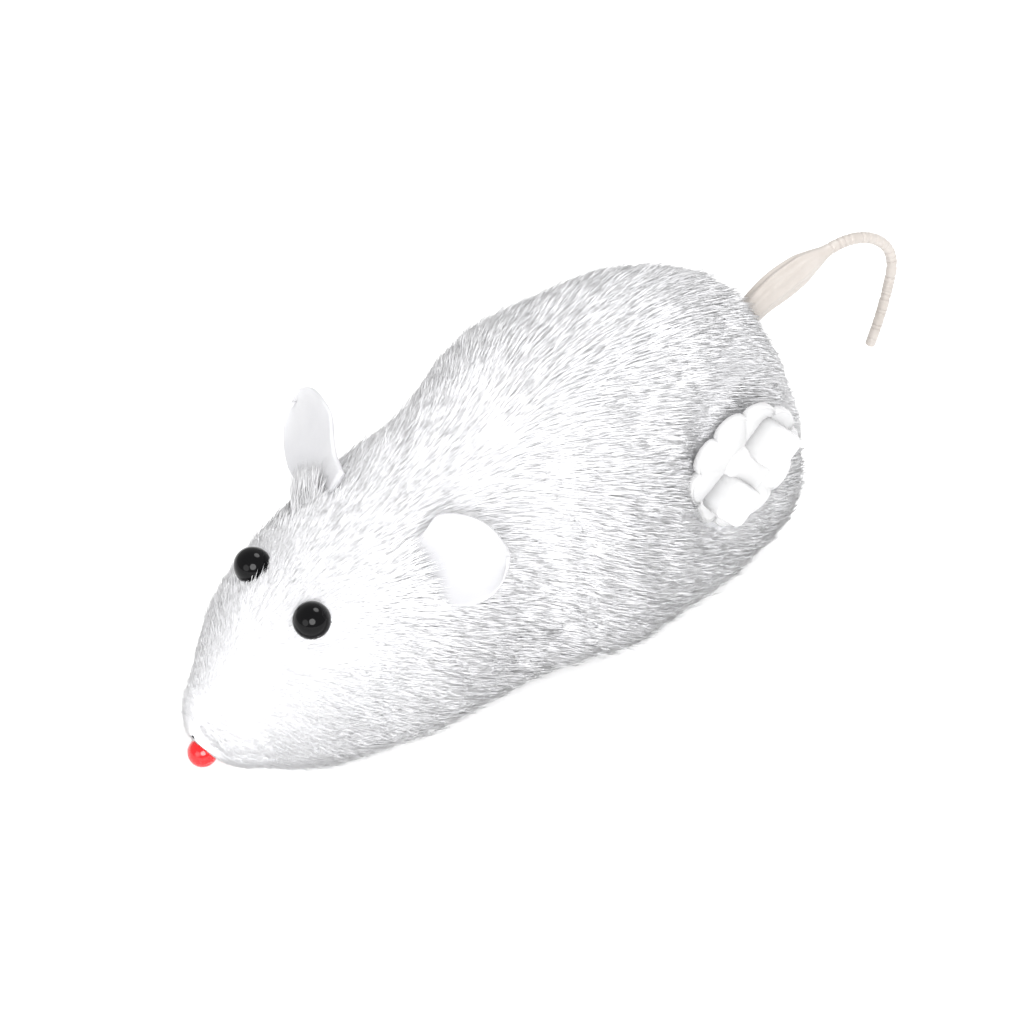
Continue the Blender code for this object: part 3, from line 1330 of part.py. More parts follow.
def key_disc_back():
    """The key's disc clears the shell all over its own circle."""
    furthest = 0.0
    steps = 24
    for i in range(steps):
        angle = math.tau * i / steps
        x = KEY_AXIS_X + KEY_DISC_RADIUS * math.cos(angle)
        z = KEY_AXIS_Z + KEY_DISC_RADIUS * math.sin(angle)
        furthest = max(furthest, half_width_at(x, z, SHELL_OUTSET))
    return furthest + KEY_STANDOFF


def centre_on_origin(frame):
    """Move the whole toy so that the middle of its box is over the origin."""
    bpy.context.view_layer.update()
    depsgraph = bpy.context.evaluated_depsgraph_get()
    corners = []
    for obj in bpy.context.scene.objects:
        if obj.type == "MESH" and not obj.hide_render:
            shape = obj.evaluated_get(depsgraph)
            corners += [shape.matrix_world @ vert.co for vert in shape.data.vertices]
    for axis in (0, 1):
        low = min(corner[axis] for corner in corners)
        high = max(corner[axis] for corner in corners)
        frame.location[axis] -= 0.5 * (low + high)


def build_mouse():
    layout = train_layout()
    key, second, drive, key_to_second, second_to_drive = layout
    frame = add_pivot("mouse_frame", None)
    key_pivot = add_pivot("key_axis", frame, (key.x, 0, key.y))
    great_pivot = add_pivot("great_axis", frame, (key.x, 0, key.y))
    second_pivot = add_pivot("second_axis", frame, (second.x, 0, second.y))
    drive_pivot = add_pivot("drive_axis", frame, (drive.x, 0, drive.y))
    front_pivot = add_pivot("front_axis", frame, (FRONT_AXLE_X, 0, FRONT_RADIUS))
    tail = tail_frame()
    origin, direction, exit_distance = tail
    tail_root = origin + direction * exit_distance
    tail_turn = Euler((0, -TAIL_TILT, math.pi))
    tail_pivot = add_pivot("tail_axis", frame, tail_root, tail_turn)
    fixed_tail_pivot = add_pivot("tail_bearings", frame, tail_root, tail_turn)
    spring_pivot = add_pivot("spring_axis", frame, (key.x, 0, key.y))

    disc_back_y = key_disc_back()
    lug_top_y = disc_back_y + KEY_DISC_THICKNESS + KEY_LUG_HEIGHT
    key_centre = Vector((key.x, 0, key.y))
    build_shell(frame, key_centre, tail)
    build_fur(frame, key_centre, tail, disc_back_y)
    build_base(frame)
    build_face(frame)
    build_ears(frame)
    build_frame(frame, layout)
    build_mainspring(spring_pivot, key_to_second)
    build_key_group(key_pivot, lug_top_y)
    build_great_group(great_pivot, key_to_second)
    build_second_group(second_pivot, key_to_second, second_to_drive)
    build_drive_group(drive_pivot, second_to_drive)
    build_front_group(front_pivot)
    build_tail_group(tail_pivot, exit_distance)
    build_tail_bearings(fixed_tail_pivot, exit_distance)
    centre_on_origin(frame)


clear_scene()
build_mouse()
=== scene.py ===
"""Looks of a clockwork plush mouse: pile, ears, beads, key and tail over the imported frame.

Lengths are in metres in the frame's own axes. +X is the nose, +Y the side with the key, +Z up.
"""
import logging
import math
from dataclasses import dataclass
from enum import Enum
from typing import Callable

import bmesh
import bpy
from mathutils import Matrix, Vector, noise


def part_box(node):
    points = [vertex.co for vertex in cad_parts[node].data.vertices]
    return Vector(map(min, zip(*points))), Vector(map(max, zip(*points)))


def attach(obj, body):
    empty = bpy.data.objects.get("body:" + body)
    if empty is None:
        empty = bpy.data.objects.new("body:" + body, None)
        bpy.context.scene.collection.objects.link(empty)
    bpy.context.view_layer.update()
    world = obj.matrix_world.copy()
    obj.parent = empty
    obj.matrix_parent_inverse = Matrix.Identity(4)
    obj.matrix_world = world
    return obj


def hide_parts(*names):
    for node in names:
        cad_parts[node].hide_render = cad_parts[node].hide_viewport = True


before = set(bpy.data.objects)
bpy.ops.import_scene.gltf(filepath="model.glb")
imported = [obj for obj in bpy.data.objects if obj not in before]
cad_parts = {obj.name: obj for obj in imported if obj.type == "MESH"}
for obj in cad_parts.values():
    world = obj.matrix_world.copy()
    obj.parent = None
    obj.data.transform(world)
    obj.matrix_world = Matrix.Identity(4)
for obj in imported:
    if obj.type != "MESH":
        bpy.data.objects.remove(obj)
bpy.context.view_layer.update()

MM = 0.001
MAP_NAME = "OFBake"
# A lacquer-like skin is this smooth, and milky plastic passes light this deep.
COAT_ROUGHNESS = 0.03
SCATTER_DEPTH_MM = 1.2
LOG = logging.getLogger("mouse")

# The body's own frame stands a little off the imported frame: the front axle is at x = 24 mm in it.
FRONT_AXLE = [0.5 * (low + high) for low, high in zip(*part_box("front_axle"))]
SHIFT = Vector((FRONT_AXLE[0] - 24.0 * MM, FRONT_AXLE[1], 0.0))


def mm(x: float, y: float, z: float) -> Vector:
    """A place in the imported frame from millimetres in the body's frame."""
    return Vector((x, y, z)) * MM + SHIFT


def linear(colour: str) -> tuple[float, float, float, float]:
    """Turn an sRGB hex colour to linear light.

    Args:
        colour: six hex digits, with a leading hash.

    Returns:
        Red, green, blue and an alpha of 1.
    """
    parts = [int(colour[i : i + 2], 16) / 255 for i in (1, 3, 5)]
    parts = [c / 12.92 if c <= 0.04045 else ((c + 0.055) / 1.055) ** 2.4 for c in parts]
    return (parts[0], parts[1], parts[2], 1.0)


def add_node(
    tree: bpy.types.NodeTree,
    kind: str,
    props: dict[str, object] | None = None,
    values: dict[str | int, object] | None = None,
    links: dict[str | int, bpy.types.NodeSocket] | None = None,
) -> bpy.types.Node:
    """Add one node with its settings, socket values and links.

    Args:
        tree: the tree that gets the node.
        kind: the node's type name.
        props: settings of the node itself.
        values: input sockets, by name or place, and their constants.
        links: input sockets, by name or place, and what feeds them.

    Returns:
        The new node.
    """
    node = tree.nodes.new(kind)
    for key, value in (props or {}).items():
        setattr(node, key, value)
    for key, value in (values or {}).items():
        node.inputs[key].default_value = value
    for key, socket in (links or {}).items():
        tree.links.new(socket, node.inputs[key])
    return node


class Grain(Enum):
    """How a surface's fine relief runs."""

    MOULDED = "moulded"
    BRUSHED = "brushed"
    TURNED = "turned"
    KNITTED = "knitted"


@dataclass(frozen=True)
class Finish:
    """A real material and how its surface was made.

    The grain, its depth and the slow drift of colour are real sizes in millimetres.
    """

    name: str
    colour: str
    shade: str
    roughness: float
    uneven: float = 0.06
    metallic: float = 0.0
    ior: float = 1.5
    coat: float = 0.0
    specular: float = 0.5
    through: float = 0.0
    glow: str = "#FFFFFF"
    grain: Grain = Grain.MOULDED
    grain_mm: float = 0.35
    depth_mm: float = 0.01
    drift_mm: float = 9.0

    def relief(self, tree: bpy.types.NodeTree, place: bpy.types.NodeSocket) -> bpy.types.NodeSocket:
        """Make the height pattern of the grain.

        Args:
            tree: the material's node tree.
            place: the place on the piece.

        Returns:
            The socket with the height, from 0 to 1.
        """
        scale = 1.0 / (self.grain_mm * MM)
        if self.grain is Grain.KNITTED:
            return add_node(
                tree, "ShaderNodeTexVoronoi", {"feature": "SMOOTH_F1"}, {"Scale": scale}, {"Vector": place}
            ).outputs["Distance"]
        drawn = {Grain.BRUSHED: (0.08, 1.0, 1.0), Grain.TURNED: (1.0, 0.25, 1.0)}
        stretch = drawn.get(self.grain, (1.0, 1.0, 1.0))
        mapped = add_node(tree, "ShaderNodeMapping", None, {"Scale": stretch}, {"Vector": place})
        return add_node(
            tree,
            "ShaderNodeTexNoise",
            None,
            {"Scale": scale, "Detail": 3.0, "Roughness": 0.55},
            {"Vector": mapped.outputs[0]},
        ).outputs["Fac"]

    def material(self) -> bpy.types.Material:
        """Make the material, or return it if it is there already.

        Returns:
            The material.
        """
        made = bpy.data.materials.get(self.name)
        if made:
            return made
        made = bpy.data.materials.new(self.name)
        made.use_nodes = True
        tree = made.node_tree
        shader = tree.nodes["Principled BSDF"]
        place = add_node(tree, "ShaderNodeTexCoord").outputs["Object"]
        drift = add_node(
            tree,
            "ShaderNodeTexNoise",
            None,
            {"Scale": 1.0 / (self.drift_mm * MM), "Detail": 4.0, "Roughness": 0.6},
            {"Vector": place},
        ).outputs["Fac"]
        height = self.relief(tree, place)
        mix = add_node(
            tree,
            "ShaderNodeMapRange",
            None,
            {"From Min": 0.35, "From Max": 0.72, "To Min": 0.0, "To Max": 1.0},
            {"Value": drift},
        ).outputs[0]
        blend = add_node(
            tree,
            "ShaderNodeMix",
            {"data_type": "RGBA"},
            {6: linear(self.colour), 7: linear(self.shade)},
            {0: mix},
        )
        tree.links.new(blend.outputs[2], shader.inputs["Base Color"])
        rough = add_node(
            tree,
            "ShaderNodeMapRange",
            None,
            {"To Min": max(0.02, self.roughness - self.uneven), "To Max": self.roughness + self.uneven},
            {"Value": height},
        )
        tree.links.new(rough.outputs[0], shader.inputs["Roughness"])
        bump = add_node(
            tree,
            "ShaderNodeBump",
            None,
            {"Strength": 0.6, "Distance": self.depth_mm * MM},
            {"Height": height},
        )
        tree.links.new(bump.outputs[0], shader.inputs["Normal"])
        shader.inputs["Metallic"].default_value = self.metallic
        if not self.metallic:
            shader.inputs["IOR"].default_value = self.ior
            shader.inputs["Specular IOR Level"].default_value = self.specular
        if self.coat:
            shader.inputs["Coat Weight"].default_value = self.coat
            shader.inputs["Coat Roughness"].default_value = COAT_ROUGHNESS
        if self.through:
            shader.inputs["Subsurface Weight"].default_value = self.through
            shader.inputs["Subsurface Scale"].default_value = SCATTER_DEPTH_MM * MM
            shader.inputs["Subsurface Radius"].default_value = linear(self.glow)[:3]
        return made


# Soft PVC, slush moulded: milky, a little see-through, with a satin skin.
EAR_VINYL = Finish(
    "soft_white_pvc", "#BDBDBF", "#B5B5B8", 0.46, through=0.12, grain_mm=0.4, depth_mm=0.012
)
# Polyethylene, injection moulded: waxy white with a slightly warm cast in its hollows.
KEY_PLASTIC = Finish(
    "moulded_white_polyethylene", "#BFBFC0", "#B7B7B7", 0.34, ior=1.51, through=0.1, depth_mm=0.006
)
# Soft PVC, tinted: pinkish cream, waxy, with a satin skin.
TAIL_VINYL = Finish(
    "tinted_cream_pvc", "#B1ABA6", "#A49D97", 0.42, through=0.08, glow="#FFF0E8", grain_mm=0.5
)
# Polystyrene bead, dyed through and polished: deep black with a mirror-like skin.
EYE_BEAD = Finish(
    "polished_black_polystyrene", "#020203", "#050506", 0.1, 0.03,
    ior=1.59, coat=0.05, specular=0.1, depth_mm=0.002
)
# Polystyrene bead, dyed through and polished: clear warm red under a hard gloss.
NOSE_BEAD = Finish(
    "polished_red_polystyrene", "#C40C14", "#A80810", 0.12, 0.03,
    ior=1.59, coat=0.4, specular=0.25, depth_mm=0.002
)
# Polystyrene, injection moulded: mid grey with a fine spark-eroded skin.
SHELL_STYRENE = Finish(
    "moulded_grey_polystyrene", "#A7A9AC", "#98999D", 0.45, 0.1, ior=1.59, grain_mm=0.3
)
# Polyethylene wheel, injection moulded: white, waxy, a little soiled near the tread.
WHEEL_PLASTIC = Finish(
    "moulded_wheel_polyethylene", "#EDEDEA", "#DCDBD6", 0.4, 0.08, ior=1.51, grain_mm=0.45
)
# Low-carbon steel, zinc plated: cool grey with a drawn grain.
ZINC_STEEL = Finish(
    "zinc_plated_steel", "#B9BCC0", "#9DA1A6", 0.32, 0.1, 1.0, grain=Grain.BRUSHED, grain_mm=0.25
)
# Spring steel, blued by heat: dark blue-grey that shifts to straw at its edges.
BLUE_STEEL = Finish(
    "blued_spring_steel", "#39424F", "#4B4A4C", 0.3, 0.08, 1.0, grain=Grain.BRUSHED, grain_mm=0.3
)
# Brass sheet, stamped and tumbled: yellow metal with dull hollows.
STAMPED_BRASS = Finish(
    "stamped_brass", "#C9A65A", "#A98945", 0.34, 0.12, 1.0, grain=Grain.TURNED, grain_mm=0.3
)
# Acetal, injection moulded: milky white, slick, faintly see-through.
ACETAL = Finish(
    "natural_acetal", "#EFEEE8", "#E2E0D8", 0.33, ior=1.48, through=0.15, grain_mm=0.4, depth_mm=0.006
)
# Rubber tyre, moulded: matt black with cross grooves.
TYRE_RUBBER = Finish(
    "moulded_black_rubber", "#1B1B1C", "#262626", 0.78, 0.1, ior=1.52, grain_mm=0.5, depth_mm=0.05
)
# Polyester warp knit under the pile: off-white loops about half a millimetre apart.
KNIT_BACKING = Finish(
    "polyester_warp_knit", "#F4F5F7", "#ECEDF0", 0.85, 0.05,
    ior=1.54, grain=Grain.KNITTED, grain_mm=0.5, depth_mm=0.08
)

# Uncoated paper, calendered: matt white with a soft felt-like tooth.
FLOOR_PAPER = Finish("matt_white_paper", "#FFFFFF", "#FCFCFC", 0.9, 0.05, grain_mm=1.0, depth_mm=0.01)


@dataclass(frozen=True)
class PileFinish:
    """Polyester pile fibre, cut and combed: bright white, with a painted cool shade towards the roots, low
    in the pile.

    A fibre is shaded mostly by the skin it lies on, as a dense pile is, and a little by its own round.
    """

    name: str = "combed_white_polyester_pile"
    tip: str = "#FFFFFF"
    # Painted shade: the root colour is a touch darker than the tip, to stand for the shade deep in the
    # pile.
    root: str = "#FAFAFD"
    cool: str = "#FCFCFF"
    roughness: float = 0.62
    lie_flat: float = 0.94

    def material(self) -> bpy.types.Material:
        """Make the fibre's material from its root-to-tip and per-fibre attributes.

        Returns:
            The material.
        """
        made = bpy.data.materials.new(self.name)
        made.use_nodes = True
        tree = made.node_tree
        shader = tree.nodes["Principled BSDF"]
        along = add_node(tree, "ShaderNodeAttribute", {"attribute_name": "along"}).outputs["Fac"]
        tint = add_node(tree, "ShaderNodeAttribute", {"attribute_name": "tint"}).outputs["Fac"]
        # Painted shade: the colour runs from the darker root, where the pile is shaded, to the white tip.
        painted_root_shade = add_node(
            tree,
            "ShaderNodeMix",
            {"data_type": "RGBA"},
            {6: linear(self.root), 7: linear(self.tip)},
            {0: along},
        )
        cool = add_node(
            tree,
            "ShaderNodeMix",
            {"data_type": "RGBA"},
            {7: linear(self.cool)},
            {0: tint, 6: painted_root_shade.outputs[2]},
        )
        tree.links.new(cool.outputs[2], shader.inputs["Base Color"])
        rough = add_node(
            tree,
            "ShaderNodeMapRange",
            None,
            {"To Min": self.roughness - 0.08, "To Max": self.roughness + 0.08},
            {"Value": tint},
        )
        tree.links.new(rough.outputs[0], shader.inputs["Roughness"])
        skin = add_node(tree, "ShaderNodeAttribute", {"attribute_name": "skin"}).outputs["Vector"]
        turned = add_node(
            tree,
            "ShaderNodeVectorTransform",
            {"vector_type": "NORMAL", "convert_from": "OBJECT", "convert_to": "WORLD"},
            None,
            {"Vector": skin},
        ).outputs[0]
        own = add_node(tree, "ShaderNodeNewGeometry").outputs["Normal"]
        facing = add_node(
            tree, "ShaderNodeMix", {"data_type": "VECTOR"}, {0: self.lie_flat}, {4: own, 5: turned}
        ).outputs[1]
        smooth = add_node(
            tree, "ShaderNodeVectorMath", {"operation": "NORMALIZE"}, None, {0: facing}
        ).outputs[0]
        tree.links.new(smooth, shader.inputs["Normal"])
        shader.inputs["IOR"].default_value = 1.54
        shader.inputs["Specular IOR Level"].default_value = 0.25
        shader.inputs["Sheen Weight"].default_value = 0.8
        shader.inputs["Sheen Roughness"].default_value = 0.5
        return made


def monotone(knots: list[tuple[float, float]], at: float) -> float:
    """Read a smooth curve that never overshoots its knots.

    Args:
        knots: (place, value) pairs in order of place.
        at: the place to read.

    Returns:
        The curve's value there.
    """
    xs = [knot[0] for knot in knots]
    ys = [knot[1] for knot in knots]
    slopes = [(ys[i + 1] - ys[i]) / (xs[i + 1] - xs[i]) for i in range(len(knots) - 1)]
    tangents = [slopes[0]]
    for a, b in zip(slopes[:-1], slopes[1:]):
        tangents.append(0.0 if a * b <= 0 else 2 * a * b / (a + b))
    tangents.append(slopes[-1])
    at = min(max(at, xs[0]), xs[-1])
    i = 0
    while i < len(knots) - 2 and at > xs[i + 1]:
        i += 1
    span = xs[i + 1] - xs[i]
    t = (at - xs[i]) / span
    value = ys[i] * (1 + 2 * t) * (1 - t) ** 2 + ys[i + 1] * t * t * (3 - 2 * t)
    return value + tangents[i] * span * t * (1 - t) ** 2 - tangents[i + 1] * span * t * t * (1 - t)


def clamp(value: float, low: float = 0.0, high: float = 1.0) -> float:
    """Hold a value between two ends."""
    return min(high, max(low, value))


def mapped_sheet(u_steps: int, v_steps: int, place: Callable[[float, float], Vector]) -> bmesh.types.BMesh:
    """Shape a grid by carrying each of its corners to a place.

    Args:
        u_steps: faces along the first direction.
        v_steps: faces along the second direction.
        place: gives the corner's place from its two shares, each from 0 to 1.

    Returns:
        The shaped sheet, with its two shares kept in the map.
    """
    bm = bmesh.new()
    bmesh.ops.create_grid(bm, x_segments=u_steps, y_segments=v_steps, size=0.5)
    shares = {vert: (vert.co.x + 0.5, vert.co.y + 0.5) for vert in bm.verts}
    layer = bm.loops.layers.uv.new(MAP_NAME)
    for face in bm.faces:
        for loop in face.loops:
            loop[layer].uv = shares[loop.vert]
    for vert, (u, v) in shares.items():
        vert.co = place(clamp(u), clamp(v))
    return bm


def closed_up(bm: bmesh.types.BMesh, gap: float = 0.01 * MM) -> bmesh.types.BMesh:
    """Merge a shape's doubles and turn its faces outwards.

    Args:
        bm: the shape.
        gap: corners nearer than this become one.

    Returns:
        The same shape.
    """
    bmesh.ops.remove_doubles(bm, verts=bm.verts[:], dist=gap)
    bmesh.ops.dissolve_degenerate(bm, edges=bm.edges[:], dist=1e-7)
    bmesh.ops.recalc_face_normals(bm, faces=bm.faces[:])
    return bm


def spun(profile: list[tuple[float, float]], steps: int, turn: Matrix) -> bmesh.types.BMesh:
    """Spin a profile into a round piece.

    Args:
        profile: (radius, along) pairs from one end of the axis to the other.
        steps: faces round the axis.
        turn: carries the axis from +Z at the origin to its place.

    Returns:
        The closed round piece.
    """
    bm = bmesh.new()
    verts = [bm.verts.new((radius, 0.0, along)) for radius, along in profile]
    edges = [bm.edges.new(pair) for pair in zip(verts, verts[1:])]
    bmesh.ops.spin(
        bm, geom=verts + edges, axis=(0, 0, 1), cent=(0, 0, 0), angle=math.tau, steps=steps, use_merge=True
    )
    bmesh.ops.transform(bm, matrix=turn, verts=bm.verts[:])
    return closed_up(bm)


def aimed(centre: Vector, out: Vector) -> Matrix:
    """The placing that carries +Z at the origin to a direction at a place."""
    return Matrix.Translation(centre) @ Vector((0, 0, 1)).rotation_difference(out).to_matrix().to_4x4()


def piece(
    name: str,
    bm: bmesh.types.BMesh,
    finish: Finish,
    body: str,
    stands_for: tuple[str, ...] = (),
) -> bpy.types.Object:
    """Turn a shape into a finished piece that rides on a body.

    Args:
        name: the piece's name.
        bm: its shape, which is used up.
        finish: its material.
        body: the body that carries it.
        stands_for: the CAD nodes it replaces.

    Returns:
        The new object.
    """
    mesh = bpy.data.meshes.new(name)
    bm.to_mesh(mesh)
    bm.free()
    mesh.polygons.foreach_set("use_smooth", [True] * len(mesh.polygons))
    obj = bpy.data.objects.new(name, mesh)
    bpy.context.scene.collection.objects.link(obj)
    mesh.materials.append(finish.material())
    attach(obj, body)
    if stands_for:
        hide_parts(*stands_for)
    LOG.info("%s: %d faces on %s", name, len(mesh.polygons), body)
    return obj


@dataclass(frozen=True)
class BodyForm:
    """The outside of the fur, as sections along the body."""

    length: float = 110.0
    width: float = 51.2
    height: float = 50.6
    widest_at: float = 0.37
    upper_fullness: float = 2.2
    lower_fullness: float = 2.9
    nose_round: float = 3.0
    rump_round: float = 2.0
    hem_inset: float = 3.2
    belly_front: float = 41.0
    belly_rear: float = -44.8
    stations: tuple[tuple[float, float, float, float], ...] = (
        # along from the nose, half width, top, bottom
        (0.00, 0.156, 0.204, 0.110),
        (0.05, 0.330, 0.336, 0.050),
        (0.15, 0.652, 0.547, 0.020),
        (0.30, 0.824, 0.698, 0.016),
        (0.45, 0.844, 0.818, 0.016),
        (0.60, 1.000, 0.968, 0.016),
        (0.75, 0.938, 1.000, 0.016),
        (0.88, 0.777, 0.915, 0.030),
        (0.96, 0.539, 0.654, 0.060),
        (1.00, 0.078, 0.435, 0.217),
    )

    def section(self, x: float, inset: float) -> tuple[float, float, float, float]:
        """Half width, top, bottom and middle height of the body, in millimetres.

        Args:
            x: place along the body.
            inset: how far the surface is drawn in.

        Returns:
            The four measures of that section.
        """
        reach = 0.5 * self.length - inset
        share = 0.5 - x / self.length
        half, top, bottom = (
            monotone([(s[0], s[k]) for s in self.stations], share) * size
            for k, size in ((1, 0.5 * self.width), (2, self.height), (3, self.height))
        )
        half = max(half - inset, 0.05 * half)
        bottom += inset * clamp((bottom - 2.5) / 3.0)
        top = max(top - inset, bottom + 0.05 * (top - bottom))
        ends = 1.0
        for distance, length in ((reach - x, self.nose_round), (x + reach, self.rump_round)):
            if distance < length:
                ends = math.sqrt(max(0.0, 1 - (1 - max(0.0, distance) / length) ** 2))
        middle = bottom + self.widest_at * (top - bottom)
        return half * ends, middle + (top - middle) * ends, middle + (bottom - middle) * ends, middle

    def point(self, x: float, angle: float, inset: float) -> Vector:
        """A place on the surface.

        Args:
            x: place along the body.
            angle: turned from +Y towards the top, in radians.
            inset: how far the surface is drawn in.

        Returns:
            The place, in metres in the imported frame.
        """
        half, top, bottom, middle = self.section(x, inset)
        across, up = math.cos(angle), math.sin(angle)
        power = 2 / (self.upper_fullness if up >= 0 else self.lower_fullness)
        y = half * math.copysign(abs(across) ** power, across)
        span = top - middle if up >= 0 else middle - bottom
        return mm(x, y, middle + math.copysign(span * abs(up) ** power, up))

    def half_width(self, x: float, z: float, inset: float) -> float:
        """Half the body's width at one place along it and one height.

        Args:
            x: place along the body.
            z: height.
            inset: how far the surface is drawn in.

        Returns:
            Half the width, in millimetres.
        """
        half, top, bottom, middle = self.section(x, inset)
        if z >= middle:
            share, power = (z - middle) / (top - middle), self.upper_fullness
        else:
            share, power = (middle - z) / (middle - bottom), self.lower_fullness
        return half * max(0.0, 1 - min(1.0, share) ** power) ** (1 / power)

    def hem_angle(self, x: float, inset: float) -> float:
        """The angle under the body where the belly opening begins.

        Args:
            x: place along the body.
            inset: how far the surface is drawn in.

        Returns:
            The angle from +Y, in radians, straight down where there is no opening.
        """
        ends = clamp(min(self.belly_front - x, x - self.belly_rear) / 2.0)
        if not ends:
            return -0.5 * math.pi
        opening = self.half_width(x, 3.0, self.hem_inset) * math.sqrt(ends)
        half = self.section(x, inset)[0]
        share = clamp(opening / max(half, 0.01), 0.0, 0.99)
        return -math.acos(share ** (self.lower_fullness / 2))

    def top_at(self, x: float, y: float) -> float:
        """Height of the back over a point.

        Args:
            x: place along the body.
            y: place across the body.

        Returns:
            The height, in millimetres.
        """
        half, top, _, middle = self.section(x, 0.0)
        n = self.upper_fullness
        return middle + (top - middle) * max(0.0, 1 - (abs(y) / half) ** n) ** (1 / n)

    def outward(self, x: float, y: float) -> Vector:
        """The direction straight out of the fur over a point.

        Args:
            x: place along the body.
            y: place across the body.

        Returns:
            A direction of length one.
        """
        along = self.top_at(x + 0.5, y) - self.top_at(x - 0.5, y)
        across = self.top_at(x, y + 0.5) - self.top_at(x, y - 0.5)
        return Vector((-along, -across, 1)).normalized()


@dataclass
class Face:
    """Bead eyes and a bead nose, each on a shank that is pushed through the plush."""

    form: BodyForm
    eye_x: float = 37.4
    eye_y: float = 7.5
    eye_radius: float = 2.8
    eye_sink: float = 0.2
    nose: tuple[float, float, float] = (52.6, 0.0, 3.7)
    nose_radius: float = 2.25
    nose_droop: float = math.radians(-28)
    shank_radius: float = 0.8
    shank_length: float = 4.6

    def eye(self, side: int) -> tuple[Vector, Vector]:
        """Centre and outward direction of one eye.

        Args:
            side: 1 for the left eye, -1 for the right.

        Returns:
            The centre, in metres, and the direction.
        """
        y = side * self.eye_y
        out = self.form.outward(self.eye_x, y)
        return mm(self.eye_x, y, self.form.top_at(self.eye_x, y)) - out * self.eye_sink * MM, out

    def nose_place(self) -> tuple[Vector, Vector]:
        """Centre and outward direction of the nose."""
        return mm(*self.nose), Vector((math.cos(self.nose_droop), 0, math.sin(self.nose_droop)))

    def bead(self, radius: float, centre: Vector, out: Vector) -> bmesh.types.BMesh:
        """A domed bead with a moulding line, an under-cut back and a shank.

        Args:
            radius: the bead's radius in millimetres.
            centre: where its middle is.
            out: the way its dome faces.

        Returns:
            The closed bead.
        """
        profile = [(0.0, radius)]
        for i in range(1, 14):
            angle = math.radians(90 - 9.5 * i)
            line = 1.012 if i == 10 else 1.0
            profile.append((radius * line * math.cos(angle), radius * math.sin(angle)))
        neck = radius * math.sin(math.radians(90 - 9.5 * 13)) - 0.35 * radius
        foot = -self.shank_length
        profile += [(self.shank_radius, neck), (self.shank_radius, foot), (0.0, foot)]
        return spun([(r * MM, z * MM) for r, z in profile], 40, aimed(centre, out))

    def build(self) -> None:
        """Build the eyes and the nose."""
        for name, side in (("eye_left", 1), ("eye_right", -1)):
            shape = self.bead(self.eye_radius, *self.eye(side))
            piece(name + "_bead", shape, EYE_BEAD, "body", (name,))
        shape = self.bead(self.nose_radius, *self.nose_place())
        piece("nose_bead_red", shape, NOSE_BEAD, "body", ("nose_bead",))


@dataclass
class Ears:
    """Two moulded ear flaps, dished in the middle, with a rounded rim."""

    roots: tuple[tuple[str, tuple[float, float, float], tuple[float, float, float]], ...] = (
        # name, middle of the root on the head, the way the flap points
        ("ear_left", (20.8, 11.6, 32.3), (-6.8, 12.8, 6.2)),
        ("ear_right", (20.5, -12.0, 33.6), (-4.5, -14.1, 1.0)),
    )
    facing: tuple[float, float, float] = (0.87, 0.29, 0.40)
    thickness: float = 1.4
    length: float = 15.2
    width: float = 14.0
    neck_width: float = 12.2
    neck_length: float = 2.0
    root: float = 4.6
    cup: float = 1.1

    def axes(self, name: str, points: tuple[float, float, float]) -> tuple[Vector, Vector, Vector]:
        """The directions of one ear.

        Args:
            name: the ear's CAD name.
            points: the way the flap points.

        Returns:
            The directions across it, out of its face, and along it.
        """
        side = 1 if name == "ear_left" else -1
        facing = Vector((self.facing[0], side * self.facing[1], self.facing[2]))
        along = Vector(points)
        along = (along - facing * along.dot(facing) / facing.length_squared).normalized()
        across = facing.cross(along).normalized()
        return across, along.cross(across), along

    def half_width(self, along: float) -> float:
        """Half the ear's width at a distance from its root.

        Args:
            along: the distance, in millimetres.

        Returns:
            Half the width, in millimetres.
        """
        rise = clamp((along + 1.0) / 6.0)
        taper = 0.5 + 0.5 * rise * rise * (3 - 2 * rise)
        if along <= self.neck_length:
            return 0.5 * self.neck_width * taper
        share = (along - self.neck_length) / (self.length - self.neck_length)
        swell = math.sin(0.5 * math.pi * min(1.0, 2.4 * share))
        end = math.sqrt(max(0.0, 1 - share**3.2))
        return 0.5 * (self.neck_width + (self.width - self.neck_width) * swell) * end * taper

    def build(self) -> None:
        """Build both ears."""
        for name, root, points in self.roots:
            across, facing, along = self.axes(name, points)
            base = mm(*root)

            def place(u: float, v: float) -> Vector:
                """Find a place on the ear.

                Args:
                    u: share of the way from root to tip.
                    v: share of the way round its edge.

                Returns:
                    The place, in metres.
                """
                far = self.length - self.neck_length
                at = -self.root + u / 0.18 * (self.root + self.neck_length) if u < 0.18 else 0.0
                if u >= 0.18:
                    at = self.neck_length + far * math.sin(0.5 * math.pi * (u - 0.18) / 0.82)
                share, face = math.cos(math.tau * v), math.sin(math.tau * v)
                flat = math.copysign(abs(face) ** 0.45, face)
                rim = max(abs(share), clamp((at - self.neck_length) / far)) ** 6
                dish = 0.22 * (1 - rim) if face > 0 and at > 0 else 0.0
                tip = math.sqrt(max(0.0, 1 - clamp((at - self.length + 0.8) / 0.8) ** 2))
                thick = 0.5 * self.thickness * (0.86 + 0.14 * rim) * max(0.08, tip)
                lift = self.cup * clamp(2 * at / self.length) * share * share + thick * flat - dish
                offset = across * (self.half_width(at) * share) + facing * lift + along * at
                return base + offset * MM

            shape = mapped_sheet(44, 48, place)
            shape = closed_up(shape)
            bmesh.ops.holes_fill(shape, edges=[e for e in shape.edges if e.is_boundary], sides=0)
            bmesh.ops.recalc_face_normals(shape, faces=shape.faces[:])
            piece(name + "_flap", shape, EAR_VINYL, "body", (name,))


